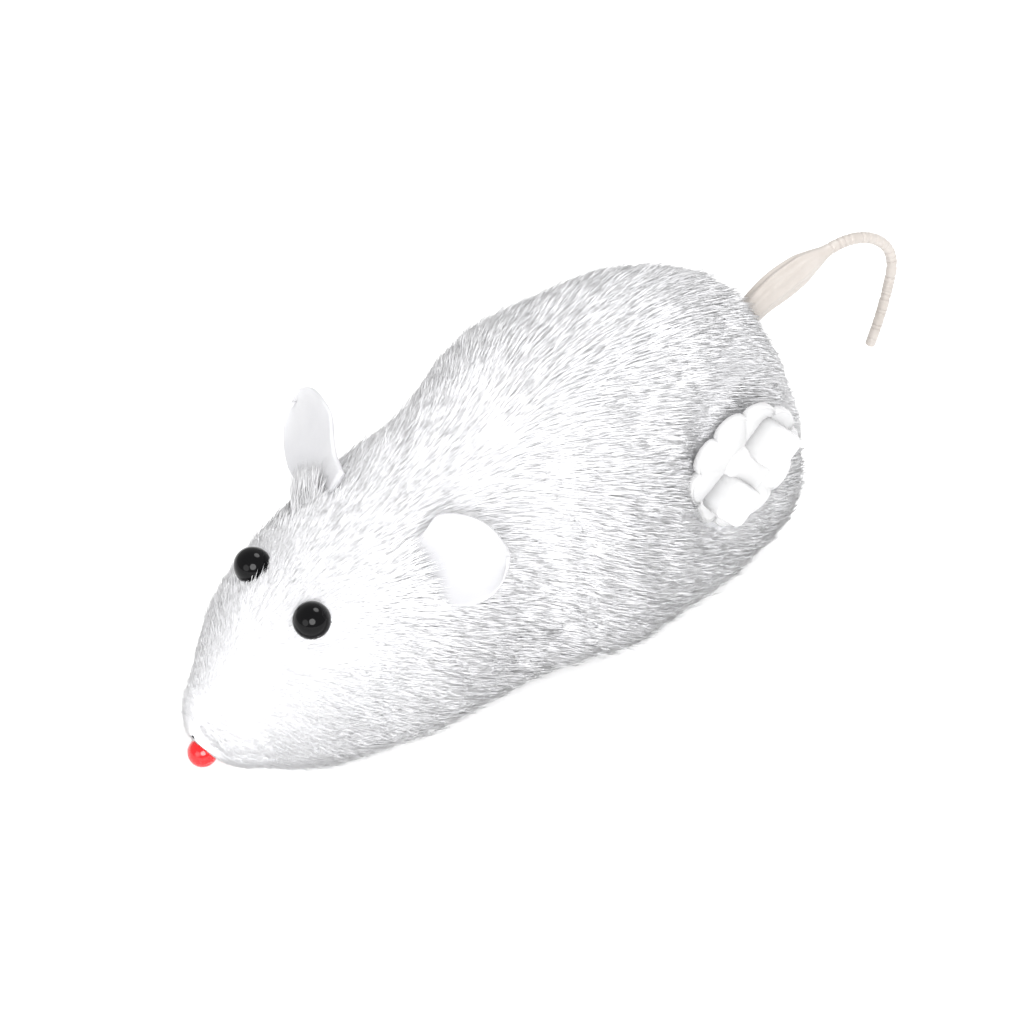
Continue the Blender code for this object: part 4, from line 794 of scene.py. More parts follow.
@dataclass
class WindingKey:
    """The scalloped key: petals round the rim, a boss, and two square finger lugs."""

    form: BodyForm
    axis: tuple[float, float] = (-31.0, 30.5)
    radius: float = 9.9
    lobes: int = 10
    lobe_depth: float = 0.65
    thickness: float = 1.6
    lug_offset: float = 5.0
    lug_length: float = 6.4
    lug_width: float = 7.4
    lug_corner: float = 1.5
    lug_height: float = 3.4
    lug_angle: float = math.radians(138)
    boss_radius: float = 4.2
    boss_height: float = 1.5
    hub_radius: float = 2.6

    def back(self) -> float:
        """Where the back of the disc is, across the body in millimetres."""
        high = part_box("key")[1]
        return (high[1] - SHIFT.y) / MM - self.lug_height - self.thickness

    def disc(self) -> bmesh.types.BMesh:
        """Make the disc with its petals, domed between creases and rounded at the rim.

        Returns:
            The closed disc.
        """
        front = self.back() + self.thickness

        def place(u: float, v: float) -> Vector:
            """Find a place on the disc.

            Args:
                u: share of the way over the front, the rim and the back.
                v: share of the way round it.

            Returns:
                The place, in metres.
            """
            angle = math.tau * v
            wave = abs(math.cos(0.5 * self.lobes * angle))
            edge = self.radius - self.lobe_depth + 2 * self.lobe_depth * math.sqrt(wave)
            outer = clamp((u - 0.08) / 0.52)
            if u < 0.08:
                radius, y = 0.3 * self.boss_radius * u / 0.08, front
            elif u <= 0.6:
                radius, y = 0.3 * self.boss_radius + (edge - 0.35 - 0.3 * self.boss_radius) * outer, front
            elif u <= 0.85:
                bend = (u - 0.6) / 0.25 * math.pi
                radius = edge - 0.35 + 0.35 * math.sin(bend)
                y = front - 0.5 * self.thickness * (1 - math.cos(bend))
            else:
                radius = (edge - 0.35) * (1 - (u - 0.85) / 0.15)
                y = front - self.thickness
            if u <= 0.6:
                spread = clamp((radius - self.boss_radius) / (edge - self.boss_radius))
                crease = 1 - wave**0.6
                y -= 0.28 * crease * math.sin(math.pi * clamp(spread, 0, 1) * 0.62)
                y -= 0.18 * spread**2
            return mm(self.axis[0] + radius * math.cos(angle), y, self.axis[1] + radius * math.sin(angle))

        return closed_up(mapped_sheet(52, 160, place))

    def block(
        self, half: tuple[float, float], low: float, high: float, corner: float, soft: float
    ) -> bmesh.types.BMesh:
        """A square block with round upright corners and a softened top.

        Args:
            half: half its size along and across.
            low: where its foot is.
            high: where its top is.
            corner: radius of its upright corners.
            soft: radius of its top edges.

        Returns:
            The block, standing along +Z.
        """
        bm = bmesh.new()
        bmesh.ops.create_cube(bm, size=2.0)
        bmesh.ops.scale(bm, vec=(half[0] * MM, half[1] * MM, 0.5 * (high - low) * MM), verts=bm.verts[:])
        upright = [e for e in bm.edges if abs(e.verts[0].co.z - e.verts[1].co.z) > 1e-6]
        bmesh.ops.bevel(
            bm, geom=upright, offset=corner * MM, affect="EDGES", segments=6, profile=0.5, material=-1
        )
        top = [e for e in bm.edges if all(v.co.z > 0 for v in e.verts)]
        bmesh.ops.bevel(
            bm, geom=top, offset=soft * MM, affect="EDGES", segments=4, profile=0.5, material=-1
        )
        bmesh.ops.translate(bm, vec=(0, 0, 0.5 * (low + high) * MM), verts=bm.verts[:])
        return closed_up(bm)

    def build(self) -> None:
        """Build the disc, its boss, hub and lugs."""
        back = self.back()
        front = back + self.thickness
        piece("key_petal_disc", self.disc(), KEY_PLASTIC, "key", ("key",))
        stand = Matrix.Rotation(math.radians(-90), 4, "X")
        centre = Matrix.Translation(mm(self.axis[0], 0, self.axis[1]))
        top = front + self.boss_height
        profile = [
            (0.0, top),
            (self.boss_radius - 1.1, top),
            (self.boss_radius - 0.5, top - 0.12),
            (self.boss_radius - 0.15, top - 0.45),
            (self.boss_radius, top - 0.9),
            (self.boss_radius + 0.25, front - 0.1),
            (self.boss_radius + 0.25, front - 0.6),
            (self.hub_radius, back + 0.4),
            (self.hub_radius, 9.2),
            (1.35, 9.2),
            (1.35, back + 0.5),
            (0.0, back + 0.5),
        ]
        boss = spun([(r * MM, z * MM) for r, z in profile], 48, centre @ stand)
        piece("key_boss_and_hub", boss, KEY_PLASTIC, "key")
        for name, side in (("key_lug_rear", 1), ("key_lug_front", -1)):
            size = (0.5 * self.lug_length, 0.5 * self.lug_width)
            lug = self.block(size, front - 0.8, front + self.lug_height, self.lug_corner, 0.55)
            bmesh.ops.translate(lug, vec=(side * self.lug_offset * MM, 0, 0), verts=lug.verts[:])
            turn = centre @ Matrix.Rotation(-self.lug_angle, 4, "Y") @ stand
            bmesh.ops.transform(lug, matrix=turn, verts=lug.verts[:])
            piece(name, lug, KEY_PLASTIC, "key")


@dataclass
class Tail:
    """The turning tail: a ridged leaf that runs into a ringed tube with a hooked end."""

    root: tuple[float, float, float] = (-0.036305, 0.0003373, 0.0353178)
    tilt: float = math.radians(14.65)
    start_heading: float = math.radians(22.0)
    runs: tuple[tuple[float, float], ...] = (
        # length, and how far the heading turns over it, in degrees
        (7.0, -22.0), (10.5, -4.0), (14.0, -62.0), (7.0, -47.0), (13.3, -14.0),
    )
    heights: tuple[tuple[float, float], ...] = (
        # length passed, half the height there
        (0.0, 2.0), (3.5, 2.6), (8.0, 3.15), (11.5, 3.0),
        (14.5, 2.1), (18.0, 1.0), (21.0, 0.92), (52.0, 0.82),
    )
    widths: tuple[tuple[float, float], ...] = (
        # length passed, half the width there
        (0.0, 2.0), (3.5, 2.1), (8.0, 2.2), (11.5, 2.0),
        (14.5, 1.5), (18.0, 0.95), (21.0, 0.92), (52.0, 0.82),
    )
    spigot_radius: float = 2.0
    spigot_length: float = 5.9
    ring_pitch: float = 1.55
    ring_depth: float = 0.26
    ridges: int = 9
    ridge_depth: float = 0.3

    def line(self, steps: int) -> list[tuple[float, Vector, float]]:
        """The centre line of the tail, in millimetres from its root.

        Args:
            steps: how many equal steps to walk.

        Returns:
            (length passed, place, heading) after each step.
        """
        points = [(0.0, Vector((0, 0, 0)), self.start_heading)]
        step = sum(run[0] for run in self.runs) / steps
        place, heading = Vector((0, 0, 0)), self.start_heading
        for i in range(steps):
            along, passed, rate = (i + 0.5) * step, 0.0, 0.0
            for length, turn in self.runs:
                if along < passed + length:
                    rate = math.radians(turn) / length
                    break
                passed += length
            heading += rate * step
            place = place + Vector((math.cos(heading), 0, math.sin(heading))) * step
            points.append(((i + 1) * step, place.copy(), heading))
        return points

    def swell(self, along: float, angle: float) -> float:
        """How far the skin stands out for a ridge or a ring.

        Args:
            along: distance from the root, in millimetres.
            angle: place round the tail, in radians.

        Returns:
            The skin's distance from the centre line, as a share of the plain radius.
        """
        ridge = math.sin(math.pi * clamp(along / 17.0)) ** 1.2
        ridge *= 0.5 + 0.5 * math.cos(self.ridges * angle + 0.5)
        stretch = 1 + 0.35 * noise.noise(Vector((0.25 * along, 3.1, 0.0)))
        phase = ((along - 17.5) / (self.ring_pitch * stretch)) % 1.0
        groove = math.exp(-((phase - 0.5) ** 2) / 0.012)
        ring = clamp((along - 17.0) / 2.0) * clamp((51.0 - along) / 1.0) * groove
        return 1 - self.ridge_depth * ridge * 0.5 - self.ring_depth * ring

    def build(self) -> None:
        """Build the tail from its spigot to its tip."""
        line = self.line(600)
        turn = Matrix.Rotation(math.pi, 4, "Z") @ Matrix.Rotation(-self.tilt, 4, "Y")
        start = Matrix.Translation(Vector(self.root))

        def place(u: float, v: float) -> Vector:
            """Find a place on the tail.

            Args:
                u: share of the way from the spigot to the tip.
                v: share of the way round it.

            Returns:
                The place, in metres.
            """
            angle = math.tau * v
            share = u * 1.06 - 0.05
            total = line[-1][0]
            if share < 0:
                at = Vector((share / 0.05 * self.spigot_length, 0, 0))
                high = wide = self.spigot_radius
                heading, grow = 0.0, 1.0
            else:
                along, at, heading = line[min(len(line) - 1, round(share * (len(line) - 1)))]
                high, wide = monotone(list(self.heights), along), monotone(list(self.widths), along)
                if along < 1.5:
                    heading = 0.5 * self.start_heading
                grow = self.swell(along, angle)
                cap = clamp((total - along) / 0.5)
                if share > 1.0:
                    cap = 0.0
                grow *= math.sqrt(max(0.0, 1 - (1 - cap) ** 2)) if cap < 1 else 1.0
            side = Vector((-math.sin(heading), 0, math.cos(heading)))
            spot = at + side * (high * grow * math.sin(angle))
            spot = spot + Vector((0, wide * grow * math.cos(angle), 0))
            return start @ (turn @ (spot * MM))

        shape = closed_up(mapped_sheet(620, 54, place), 0.004 * MM)
        bmesh.ops.holes_fill(shape, edges=[e for e in shape.edges if e.is_boundary], sides=0)
        bmesh.ops.recalc_face_normals(shape, faces=shape.faces[:])
        piece("tail_ringed_vinyl", shape, TAIL_VINYL, "tail", ("tail",))


@dataclass
class Plush:
    """The plush cover: a knitted backing with combed pile on its outside."""

    form: BodyForm
    face: Face
    ears: Ears
    key: WindingKey
    tail: Tail
    steps_along: int = 132
    steps_round: int = 150
    bands: int = 6
    density: float = 17.0
    lift: float = math.radians(15)
    floor: float = 0.15
    fibre_share: float = 0.014

    def depth(self, x: float) -> float:
        """How far the backing lies under the tips of the pile, in millimetres."""
        return monotone([(-55, 1.6), (-40, 1.9), (10, 1.8), (35, 1.2), (48, 0.9), (55, 1.0)], x)

    def pile(self, x: float) -> float:
        """Length of the pile, in millimetres."""
        return monotone([(-55, 5.4), (-40, 6.4), (10, 6.0), (32, 4.2), (46, 2.6), (55, 1.9)], x)

    def comb(self, spot: Vector, normal: Vector) -> Vector:
        """The way the pile is combed: backwards and down the sides, and away from the nose.

        Args:
            spot: the place on the backing.
            normal: the way the backing faces there.

        Returns:
            A direction of length one, flat on the surface.
        """
        _, y, z = (spot - SHIFT) / MM
        lay = Vector((-1.0, 0.12 * clamp(y / 10, -1, 1), -0.42 if z > 8 else -0.15))
        away = spot - self.face.nose_place()[0]
        lay = lay + away.normalized() * 3.0 * clamp(1 - (away.length / MM - 2.2) / 4.0)
        lay = lay - normal * lay.dot(normal)
        return lay.normalized() if lay.length > 1e-4 else Vector((-1, 0, 0))

    def backing(self) -> bmesh.types.BMesh:
        """Make the backing, open at the belly, pressed in behind the key, cut for beads and tail.

        Returns:
            The open sheet.
        """
        reach = 0.5 * self.form.length

        def place(u: float, v: float) -> Vector:
            """Find a place on the backing.

            Args:
                u: share of the way from nose to rump.
                v: share of the way from one hem over the back to the other.

            Returns:
                The place, in metres.
            """
            share = 0.5 - 0.5 * math.cos(math.pi * clamp(0.06 + 0.88 * u, 0, 1))
            low, high = 0.5 - 0.5 * math.cos(math.pi * 0.06), 0.5 - 0.5 * math.cos(math.pi * 0.94)
            share = (share - low) / (high - low)
            x = reach - 2 * reach * share
            inset = self.depth(x)
            x = max(-reach + inset + 0.02, min(reach - inset - 0.02, x * (reach - inset) / reach))
            angle = self.form.hem_angle(x, inset)
            rim = 0.03
            if v < rim or v > 1 - rim:
                spot = self.form.point(x, angle if v < 0.5 else math.pi - angle, inset)
                rise = (1 - min(v, 1 - v) / rim) * (3.0 * MM if angle > -1.5 else 0.0)
                return spot + Vector((0, 0, rise))
            share = (v - rim) / (1 - 2 * rim)
            spot = self.form.point(x, angle + (math.pi - 2 * angle) * share, inset)
            from_key = math.hypot(spot.x - key_at.x, spot.z - key_at.z) / MM
            if spot.y > 0 and from_key < 11.4:
                pressed = key_at.y - 0.3 * MM
                if from_key > 10.6:
                    mix = (from_key - 10.6) / 0.8
                    pressed = pressed + (spot.y - pressed) * mix
                spot.y = min(spot.y, pressed)
            off = spot - nose
            ahead = off.dot(droop)
            aside = (off - droop * ahead).length
            if aside < 6 * MM:
                limit = 0.9 * (aside - 2.3 * MM) - 0.5 * MM
                spot = spot - droop * max(0.0, ahead - limit)
            spot.z = max(spot.z, 0.9 * MM)
            return spot

        key_at = mm(self.key.axis[0], self.key.back(), self.key.axis[1])
        nose, droop = self.face.nose_place()
        bm = closed_up(mapped_sheet(self.steps_along, self.steps_round, place), 0.02 * MM)
        holes = [(*self.face.eye(1), 2.3), (*self.face.eye(-1), 2.3), (*self.face.nose_place(), 2.3)]
        outwards = Vector((-math.cos(self.tail.tilt), 0, math.sin(self.tail.tilt)))
        holes.append((Vector(self.tail.root), outwards, 3.2))
        cut = []
        for face in bm.faces:
            middle = face.calc_center_median()
            for centre, out, radius in holes:
                off = middle - centre
                if (off - out * off.dot(out)).length < radius * MM and abs(off.dot(out)) < 6 * MM:
                    cut.append(face)
                    break
        bmesh.ops.delete(bm, geom=cut, context="FACES")
        if sum(face.normal.dot(face.calc_center_median() - mm(0, 0, 20)) for face in bm.faces) < 0:
            bmesh.ops.reverse_faces(bm, faces=bm.faces[:])
        return bm

    def mark(self, obj: bpy.types.Object) -> None:
        """Store on the backing how the pile grows from each of its corners.

        Args:
            obj: the backing, which gets the comb, pile, grow, lift, patch and region attributes.
        """
        mesh = obj.data
        key_at = mm(self.key.axis[0], self.key.back(), self.key.axis[1])
        eyes = [self.face.eye(1)[0], self.face.eye(-1)[0]]
        nose = self.face.nose_place()[0]
        tail = Vector(self.tail.root)
        comb, pile, grow, lift = [], [], [], []
        for vert in mesh.vertices:
            x = (vert.co.x - SHIFT.x) / MM
            length, thick, rise = self.pile(x), 1.0, self.lift
            near_eye = min((vert.co - eye).length for eye in eyes) / MM
            near_nose = (vert.co - nose).length / MM
            near_tail = (vert.co - tail).length / MM
            from_key = math.hypot(vert.co.x - key_at.x, vert.co.z - key_at.z) / MM
            ahead = clamp((x - self.face.eye_x) / 2.0)
            length *= 0.72 + 0.28 * max(ahead, clamp((near_eye - 2.6) / 5.0))
            rise += math.radians(12 + 26 * ahead) * clamp(1 - (near_eye - 2.6) / 2.5)
            length *= 0.5 + 0.5 * clamp((near_nose - 2.0) / 4.0)
            if near_nose < 2.3:
                thick = 0.0
            length *= 0.45 + 0.55 * clamp((near_tail - 3.2) / 4.5)
            if vert.co.y > 0 and from_key < 16:
                gap = (key_at.y - vert.co.y) / MM
                if from_key > 11.0:
                    length *= 0.5 + 0.5 * clamp((from_key - 11.0) / 5.0)
                    rise += math.radians(14) * clamp(1 - (from_key - 11.0) / 3.0)
                else:
                    length = min(length, 1.8 * gap)
                    thick = clamp((gap - 0.6) / 0.5)
            if vert.normal.z < -0.75:
                length *= 0.5
            for _, root, points in self.ears.roots:
                off = vert.co - mm(*root)
                out = Vector(points).normalized()
                flat = off - out * off.dot(out)
                across = flat.dot(Vector(self.ears.facing).normalized()) / MM
                near = abs(off.dot(out)) < 5 * MM
                if near and flat.length < 6 * MM and abs(across) < 0.6:
                    thick = 0.0
                if near and flat.length < 8 * MM and 0.6 <= across < 4.5:
                    rise += math.radians(36)
                    length *= 1.25
            comb.extend(self.comb(vert.co, vert.normal))
            pile.append(length * MM)
            grow.append(thick)
            lift.append(rise)
        for name, kind, data in (
            ("comb", "FLOAT_VECTOR", comb),
            ("pile", "FLOAT", pile),
            ("grow", "FLOAT", grow),
            ("lift", "FLOAT", lift),
        ):
            layer = mesh.attributes.new(name, kind, "POINT")
            layer.data.foreach_set("vector" if kind == "FLOAT_VECTOR" else "value", data)
        patch = mesh.attributes.new("patch", "FLOAT_VECTOR", "CORNER")
        region = mesh.attributes.new("region", "INT", "FACE")
        shares = mesh.uv_layers[MAP_NAME].data
        spot = [0.0] * (3 * len(mesh.loops))
        regions = []
        for face in mesh.polygons:
            x = (face.center.x - SHIFT.x) / MM
            share = clamp(0.5 - x / self.form.length, 0.0, 0.999)
            regions.append(int(share * self.bands) * 2 + (1 if face.center.y < SHIFT.y else 0))
            for i in face.loop_indices:
                spot[3 * i], spot[3 * i + 1] = shares[i].uv
        patch.data.foreach_set("vector", spot)
        region.data.foreach_set("value", regions)

    def fibre(self) -> bpy.types.Object:
        """Make one bent, tapered fibre of unit length that grows along +Z and leans towards -X.

        Returns:
            The fibre, which is not in the scene.
        """
        bm = bmesh.new()
        bmesh.ops.create_cone(
            bm,
            cap_ends=False,
            segments=3,
            radius1=self.fibre_share,
            radius2=0.8 * self.fibre_share,
            depth=0.5,
        )
        bmesh.ops.translate(bm, vec=(0, 0, 0.25), verts=bm.verts[:])
        rim = [e for e in bm.edges if all(v.co.z > 0.4 for v in e.verts)]
        grown = bmesh.ops.extrude_edge_only(bm, edges=rim)["geom"]
        tips = [g for g in grown if isinstance(g, bmesh.types.BMVert)]
        bmesh.ops.pointmerge(bm, verts=tips, merge_co=(-0.17, 0, 0.98))
        for vert in bm.verts:
            if 0.4 < vert.co.z < 0.6:
                vert.co.x -= 0.035
        bmesh.ops.recalc_face_normals(bm, faces=bm.faces[:])
        mesh = bpy.data.meshes.new("fibre")
        bm.to_mesh(mesh)
        bm.free()
        mesh.polygons.foreach_set("use_smooth", [True] * len(mesh.polygons))
        along = mesh.attributes.new("along", "FLOAT", "POINT")
        along.data.foreach_set("value", [clamp(vert.co.z) for vert in mesh.vertices])
        turn = mesh.attributes.new("spread", "FLOAT_VECTOR", "POINT")
        spread = []
        for vert in mesh.vertices:
            spread.extend((0.004 * (vert.co.y / self.fibre_share), 0.006 * vert.co.z, 0.0))
        turn.data.foreach_set("vector", spread)
        return bpy.data.objects.new("fibre", mesh)

    def growth(
        self, fibre: bpy.types.Object, material: bpy.types.Material
    ) -> tuple[bpy.types.NodeTree, bpy.types.Node]:
        """Node tree that grows fibres from one region of the backing.

        Args:
            fibre: the fibre that is repeated.
            material: the fibre's material.

        Returns:
            The tree and the node that holds the region's number.
        """
        tree = bpy.data.node_groups.new("pile", "GeometryNodeTree")
        tree.interface.new_socket("Geometry", in_out="INPUT", socket_type="NodeSocketGeometry")
        tree.interface.new_socket("Geometry", in_out="OUTPUT", socket_type="NodeSocketGeometry")
        start = add_node(tree, "NodeGroupInput")

        def read(name: str, kind: str = "FLOAT") -> bpy.types.NodeSocket:
            """Read one of the backing's attributes."""
            node = add_node(tree, "GeometryNodeInputNamedAttribute", {"data_type": kind}, {"Name": name})
            return node.outputs["Attribute"]

        def vector(operation: str, a: object, b: object) -> bpy.types.NodeSocket:
            """Work out one step on vectors.

            Args:
                operation: the step's name in the node's own list.
                a: a socket or a constant.
                b: a socket or a constant, and the factor of a scaling.

            Returns:
                The socket with the result.
            """
            node = add_node(tree, "ShaderNodeVectorMath", {"operation": operation})
            for key, given in ((0, a), (1, b)):
                key = "Scale" if operation == "SCALE" and key else key
                if isinstance(given, bpy.types.NodeSocket):
                    tree.links.new(given, node.inputs[key])
                else:
                    node.inputs[key].default_value = given
            return node.outputs[0]

        def store(
            geometry: bpy.types.NodeSocket, name: str, value: bpy.types.NodeSocket, kind: str, domain: str
        ) -> bpy.types.NodeSocket:
            """Store a named attribute.

            Args:
                geometry: what gets it.
                name: its name.
                value: its value.
                kind: its data type.
                domain: where on the geometry it is kept.

            Returns:
                The socket with the geometry.
            """
            node = add_node(
                tree,
                "GeometryNodeStoreNamedAttribute",
                {"data_type": kind, "domain": domain},
                {"Name": name},
                {"Geometry": geometry, "Value": value},
            )
            return node.outputs[0]

        chosen = add_node(
            tree,
            "FunctionNodeCompare",
            {"data_type": "INT", "operation": "EQUAL"},
            None,
            {2: read("region", "INT")},
        )
        apart = add_node(
            tree,
            "GeometryNodeSeparateGeometry",
            {"domain": "FACE"},
            None,
            {"Geometry": start.outputs[0], "Selection": chosen.outputs[0]},
        )
        density = self.density * 1.0 / MM**2
        crowd = add_node(tree, "ShaderNodeMath", {"operation": "MULTIPLY"}, {1: density}, {0: read("grow")})
        roots = add_node(
            tree,
            "GeometryNodeDistributePointsOnFaces",
            {"distribute_method": "RANDOM"},
            {"Seed": 7},
            {"Mesh": apart.outputs[0], "Density": crowd.outputs[0]},
        )
        normal = roots.outputs["Normal"]
        lift = read("lift")
        sine = add_node(tree, "ShaderNodeMath", {"operation": "SINE"}, None, {0: lift}).outputs[0]
        cosine = add_node(tree, "ShaderNodeMath", {"operation": "COSINE"}, None, {0: lift}).outputs[0]
        flat = vector("SCALE", read("comb", "FLOAT_VECTOR"), cosine)
        way = vector("ADD", flat, vector("SCALE", normal, sine))
        for size, amount in ((5.0, 0.4), (1.5, 0.34)):
            swirl = add_node(
                tree, "ShaderNodeTexNoise", None, {"Scale": 1 / (size * MM), "Detail": 1.0}
            ).outputs["Color"]
            way = vector("ADD", way, vector("SCALE", vector("SUBTRACT", swirl, (0.5, 0.5, 0.5)), amount))
        stray = add_node(
            tree,
            "FunctionNodeRandomValue",
            {"data_type": "FLOAT_VECTOR"},
            {"Min": (-0.14, -0.14, -0.14), "Max": (0.14, 0.14, 0.14), "Seed": 3},
        ).outputs[0]
        way = vector("ADD", way, stray)
        aim = add_node(
            tree,
            "FunctionNodeAxesToRotation",
            {"primary_axis": "Z", "secondary_axis": "X"},
            None,
            {"Primary Axis": way, "Secondary Axis": normal},
        )
        size = add_node(
            tree, "FunctionNodeRandomValue", {"data_type": "FLOAT"}, {2: 0.62, 3: 1.08, "Seed": 11}
        ).outputs[1]
        long = add_node(
            tree, "ShaderNodeMath", {"operation": "MULTIPLY"}, None, {0: size, 1: read("pile")}
        ).outputs[0]
        template = add_node(tree, "GeometryNodeObjectInfo", None, {"Object": fibre})
        grown = add_node(
            tree,
            "GeometryNodeInstanceOnPoints",
            None,
            None,
            {
                "Points": roots.outputs["Points"],
                "Instance": template.outputs["Geometry"],
                "Rotation": aim.outputs[0],
                "Scale": long,
            },
        ).outputs[0]
        tint = add_node(
            tree, "FunctionNodeRandomValue", {"data_type": "FLOAT"}, {2: 0.0, 3: 1.0, "Seed": 5}
        ).outputs[1]
        grown = store(grown, "tint", tint, "FLOAT", "INSTANCE")
        grown = store(grown, "skin", normal, "FLOAT_VECTOR", "INSTANCE")
        solid = add_node(tree, "GeometryNodeRealizeInstances", None, None, {"Geometry": grown}).outputs[0]
        at = add_node(tree, "GeometryNodeInputPosition").outputs[0]
        split = add_node(tree, "ShaderNodeSeparateXYZ", None, None, {0: at})
        held = add_node(
            tree, "ShaderNodeMath", {"operation": "MAXIMUM"}, {1: self.floor * MM}, {0: split.outputs[2]}
        )
        joined = add_node(
            tree,
            "ShaderNodeCombineXYZ",
            None,
            None,
            {0: split.outputs[0], 1: split.outputs[1], 2: held.outputs[0]},
        )
        solid = add_node(
            tree, "GeometryNodeSetPosition", None, None, {"Geometry": solid, "Position": joined.outputs[0]}
        ).outputs[0]
        chart = vector("ADD", read("patch", "FLOAT_VECTOR"), read("spread", "FLOAT_VECTOR"))
        solid = store(solid, MAP_NAME, chart, "FLOAT2", "CORNER")
        solid = add_node(
            tree, "GeometryNodeSetMaterial", None, {"Material": material}, {"Geometry": solid}
        ).outputs[0]
        add_node(tree, "NodeGroupOutput", None, None, {0: solid})
        return tree, chosen

    def build(self) -> None:
        """Build the backing, then the pile on it region by region."""
        cover = piece("plush_backing", self.backing(), KNIT_BACKING, "body", ("fur_skin",))
        self.mark(cover)
        tree, chosen = self.growth(self.fibre(), PileFinish().material())
        grower = cover.modifiers.new("pile", "NODES")
        grower.node_group = tree
        for number in range(2 * self.bands):
            chosen.inputs[3].default_value = number
            tree.interface_update(bpy.context)
            cover.update_tag()
            bpy.context.view_layer.update()
            shape = cover.evaluated_get(bpy.context.evaluated_depsgraph_get())
            mesh = bpy.data.meshes.new_from_object(shape)
            for name in ("comb", "pile", "grow", "lift", "patch", "spread", "region"):
                if name in mesh.attributes:
                    mesh.attributes.remove(mesh.attributes[name])
            side = "right" if number % 2 else "left"
            tuft = bpy.data.objects.new(f"pile_{side}_{number // 2 + 1}", mesh)
            bpy.context.scene.collection.objects.link(tuft)
            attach(tuft, "body")
            LOG.info("%s: %d faces", tuft.name, len(mesh.polygons))
        cover.modifiers.remove(grower)
        for name in ("comb", "pile", "grow", "lift", "patch", "region"):
            cover.data.attributes.remove(cover.data.attributes[name])


@dataclass
class Works:
    """The hard pieces that keep their CAD shapes and get real finishes."""

    finishes: tuple[tuple[Finish, tuple[str, ...]], ...] = (
        (SHELL_STYRENE, ("body_shell", "base_plate")),
        (
            ZINC_STEEL,
            (
                "frame_plate_left", "frame_plate_right", "pillar_front", "pillar_rear", "spring_post",
                "key_arbor", "click_rivet", "second_arbor", "drive_axle", "tail_shaft", "front_axle",
                "shell_screw_front", "shell_screw_rear", "frame_screw_front", "frame_screw_rear",
            ),
        ),
        (BLUE_STEEL, ("mainspring", "click_spring")),
        (STAMPED_BRASS, ("great_wheel", "ratchet_wheel")),
        (
            ACETAL,
            (
                "frame_foot_front", "frame_foot_rear", "tail_bracket", "tail_bush", "axle_bracket_left",
                "axle_bracket_right", "crown_wheel", "second_pinion", "second_wheel", "drive_pinion",
                "tail_pinion",
            ),
        ),
        (
            WHEEL_PLASTIC,
            ("drive_wheel_left", "drive_wheel_right", "front_wheel_left", "front_wheel_right"),
        ),
        (TYRE_RUBBER, ("tyre_left", "tyre_right")),
    )

    def dress(self) -> None:
        """Give each CAD node its finish."""
        for finish, names in self.finishes:
            for name in names:
                obj = bpy.data.objects[name]
                if not obj.material_slots:
                    obj.data.materials.append(finish.material())
                for slot in obj.material_slots:
                    slot.material = finish.material()
            LOG.info("%s: %d nodes", finish.name, len(names))


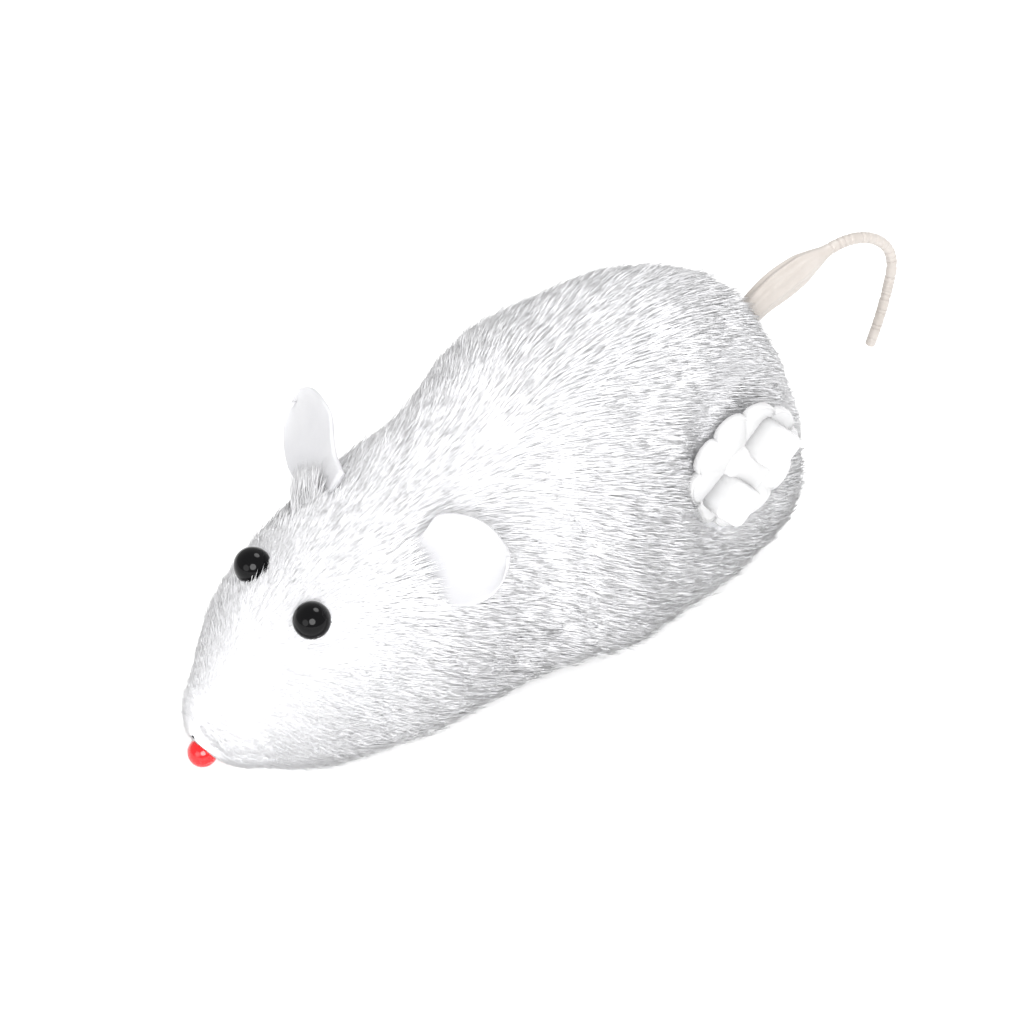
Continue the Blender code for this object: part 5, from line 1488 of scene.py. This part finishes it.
@dataclass
class Studio:
    """A pale floor, soft lamps, and the camera."""

    focus: tuple[float, float, float] = (0.0, 0.0, 20.0)
    back: tuple[float, float, float] = (0.4598, 0.5958, 0.6585)
    right: tuple[float, float, float] = (-0.7917, 0.6109, 0.0)
    up: tuple[float, float, float] = (-0.4023, -0.5213, 0.7526)
    slide: tuple[float, float] = (3.777, 1.814)
    distance: float = 600.0
    lens: float = 140.55
    room_light: float = 0.85
    lamps: tuple[tuple[str, tuple[float, float, float], float, float], ...] = (
        # name, place, size across, power in watts
        ("overhead_softbox", (-300.0, -30.0, 560.0), 300.0, 1.9),
        ("camera_softbox", (340.0, 540.0, 420.0), 480.0, 6.2),
        ("front_softbox", (620.0, 160.0, 240.0), 420.0, 1.1),
    )

    def floor(self) -> None:
        """Lay a matt white floor."""
        bm = bmesh.new()
        bmesh.ops.create_grid(bm, x_segments=1, y_segments=1, size=3.0)
        mesh = bpy.data.meshes.new("studio_floor")
        bm.to_mesh(mesh)
        bm.free()
        obj = bpy.data.objects.new("studio_floor", mesh)
        bpy.context.scene.collection.objects.link(obj)
        mesh.materials.append(FLOOR_PAPER.material())

    def light(self) -> None:
        """Hang the lamps and light the room."""
        for name, place, size, power in self.lamps:
            lamp = bpy.data.lights.new(name, "AREA")
            lamp.shape = "DISK"
            lamp.size = size * MM
            lamp.energy = power
            obj = bpy.data.objects.new(name, lamp)
            bpy.context.scene.collection.objects.link(obj)
            at = mm(*place)
            obj.location = at
            obj.rotation_euler = (at - mm(*self.focus)).to_track_quat("Z", "Y").to_euler()
        world = bpy.data.worlds.new("white_room")
        world.use_nodes = True
        ground = world.node_tree.nodes["Background"]
        ground.inputs["Color"].default_value = (1.0, 1.0, 1.0, 1.0)
        ground.inputs["Strength"].default_value = self.room_light
        bpy.context.scene.world = world
        bpy.context.scene.view_settings.view_transform = "Standard"

    def camera(self) -> None:
        """Set the camera on its stand."""
        back, right, up = Vector(self.back), Vector(self.right), Vector(self.up)
        data = bpy.data.cameras.new("camera")
        data.lens = self.lens
        data.sensor_width = 36.0
        data.clip_start = 0.01
        obj = bpy.data.objects.new("camera", data)
        bpy.context.scene.collection.objects.link(obj)
        target = mm(*self.focus) + (right * self.slide[0] + up * self.slide[1]) * MM
        pose = Matrix((right, up, back)).transposed().to_4x4()
        obj.matrix_world = Matrix.Translation(target + back * self.distance * MM) @ pose
        bpy.context.scene.camera = obj

    def build(self) -> None:
        """Set up the floor, the lamps and the camera."""
        self.floor()
        self.light()
        self.camera()


def main() -> None:
    """Build every sub-assembly in order."""
    logging.basicConfig(level=logging.INFO, format="%(message)s")
    Studio().build()
    Works().dress()
    form = BodyForm()
    face, ears, key, tail = Face(form), Ears(), WindingKey(form), Tail()
    face.build()
    ears.build()
    key.build()
    tail.build()
    Plush(form, face, ears, key, tail).build()


if __name__ == "__main__":
    main()
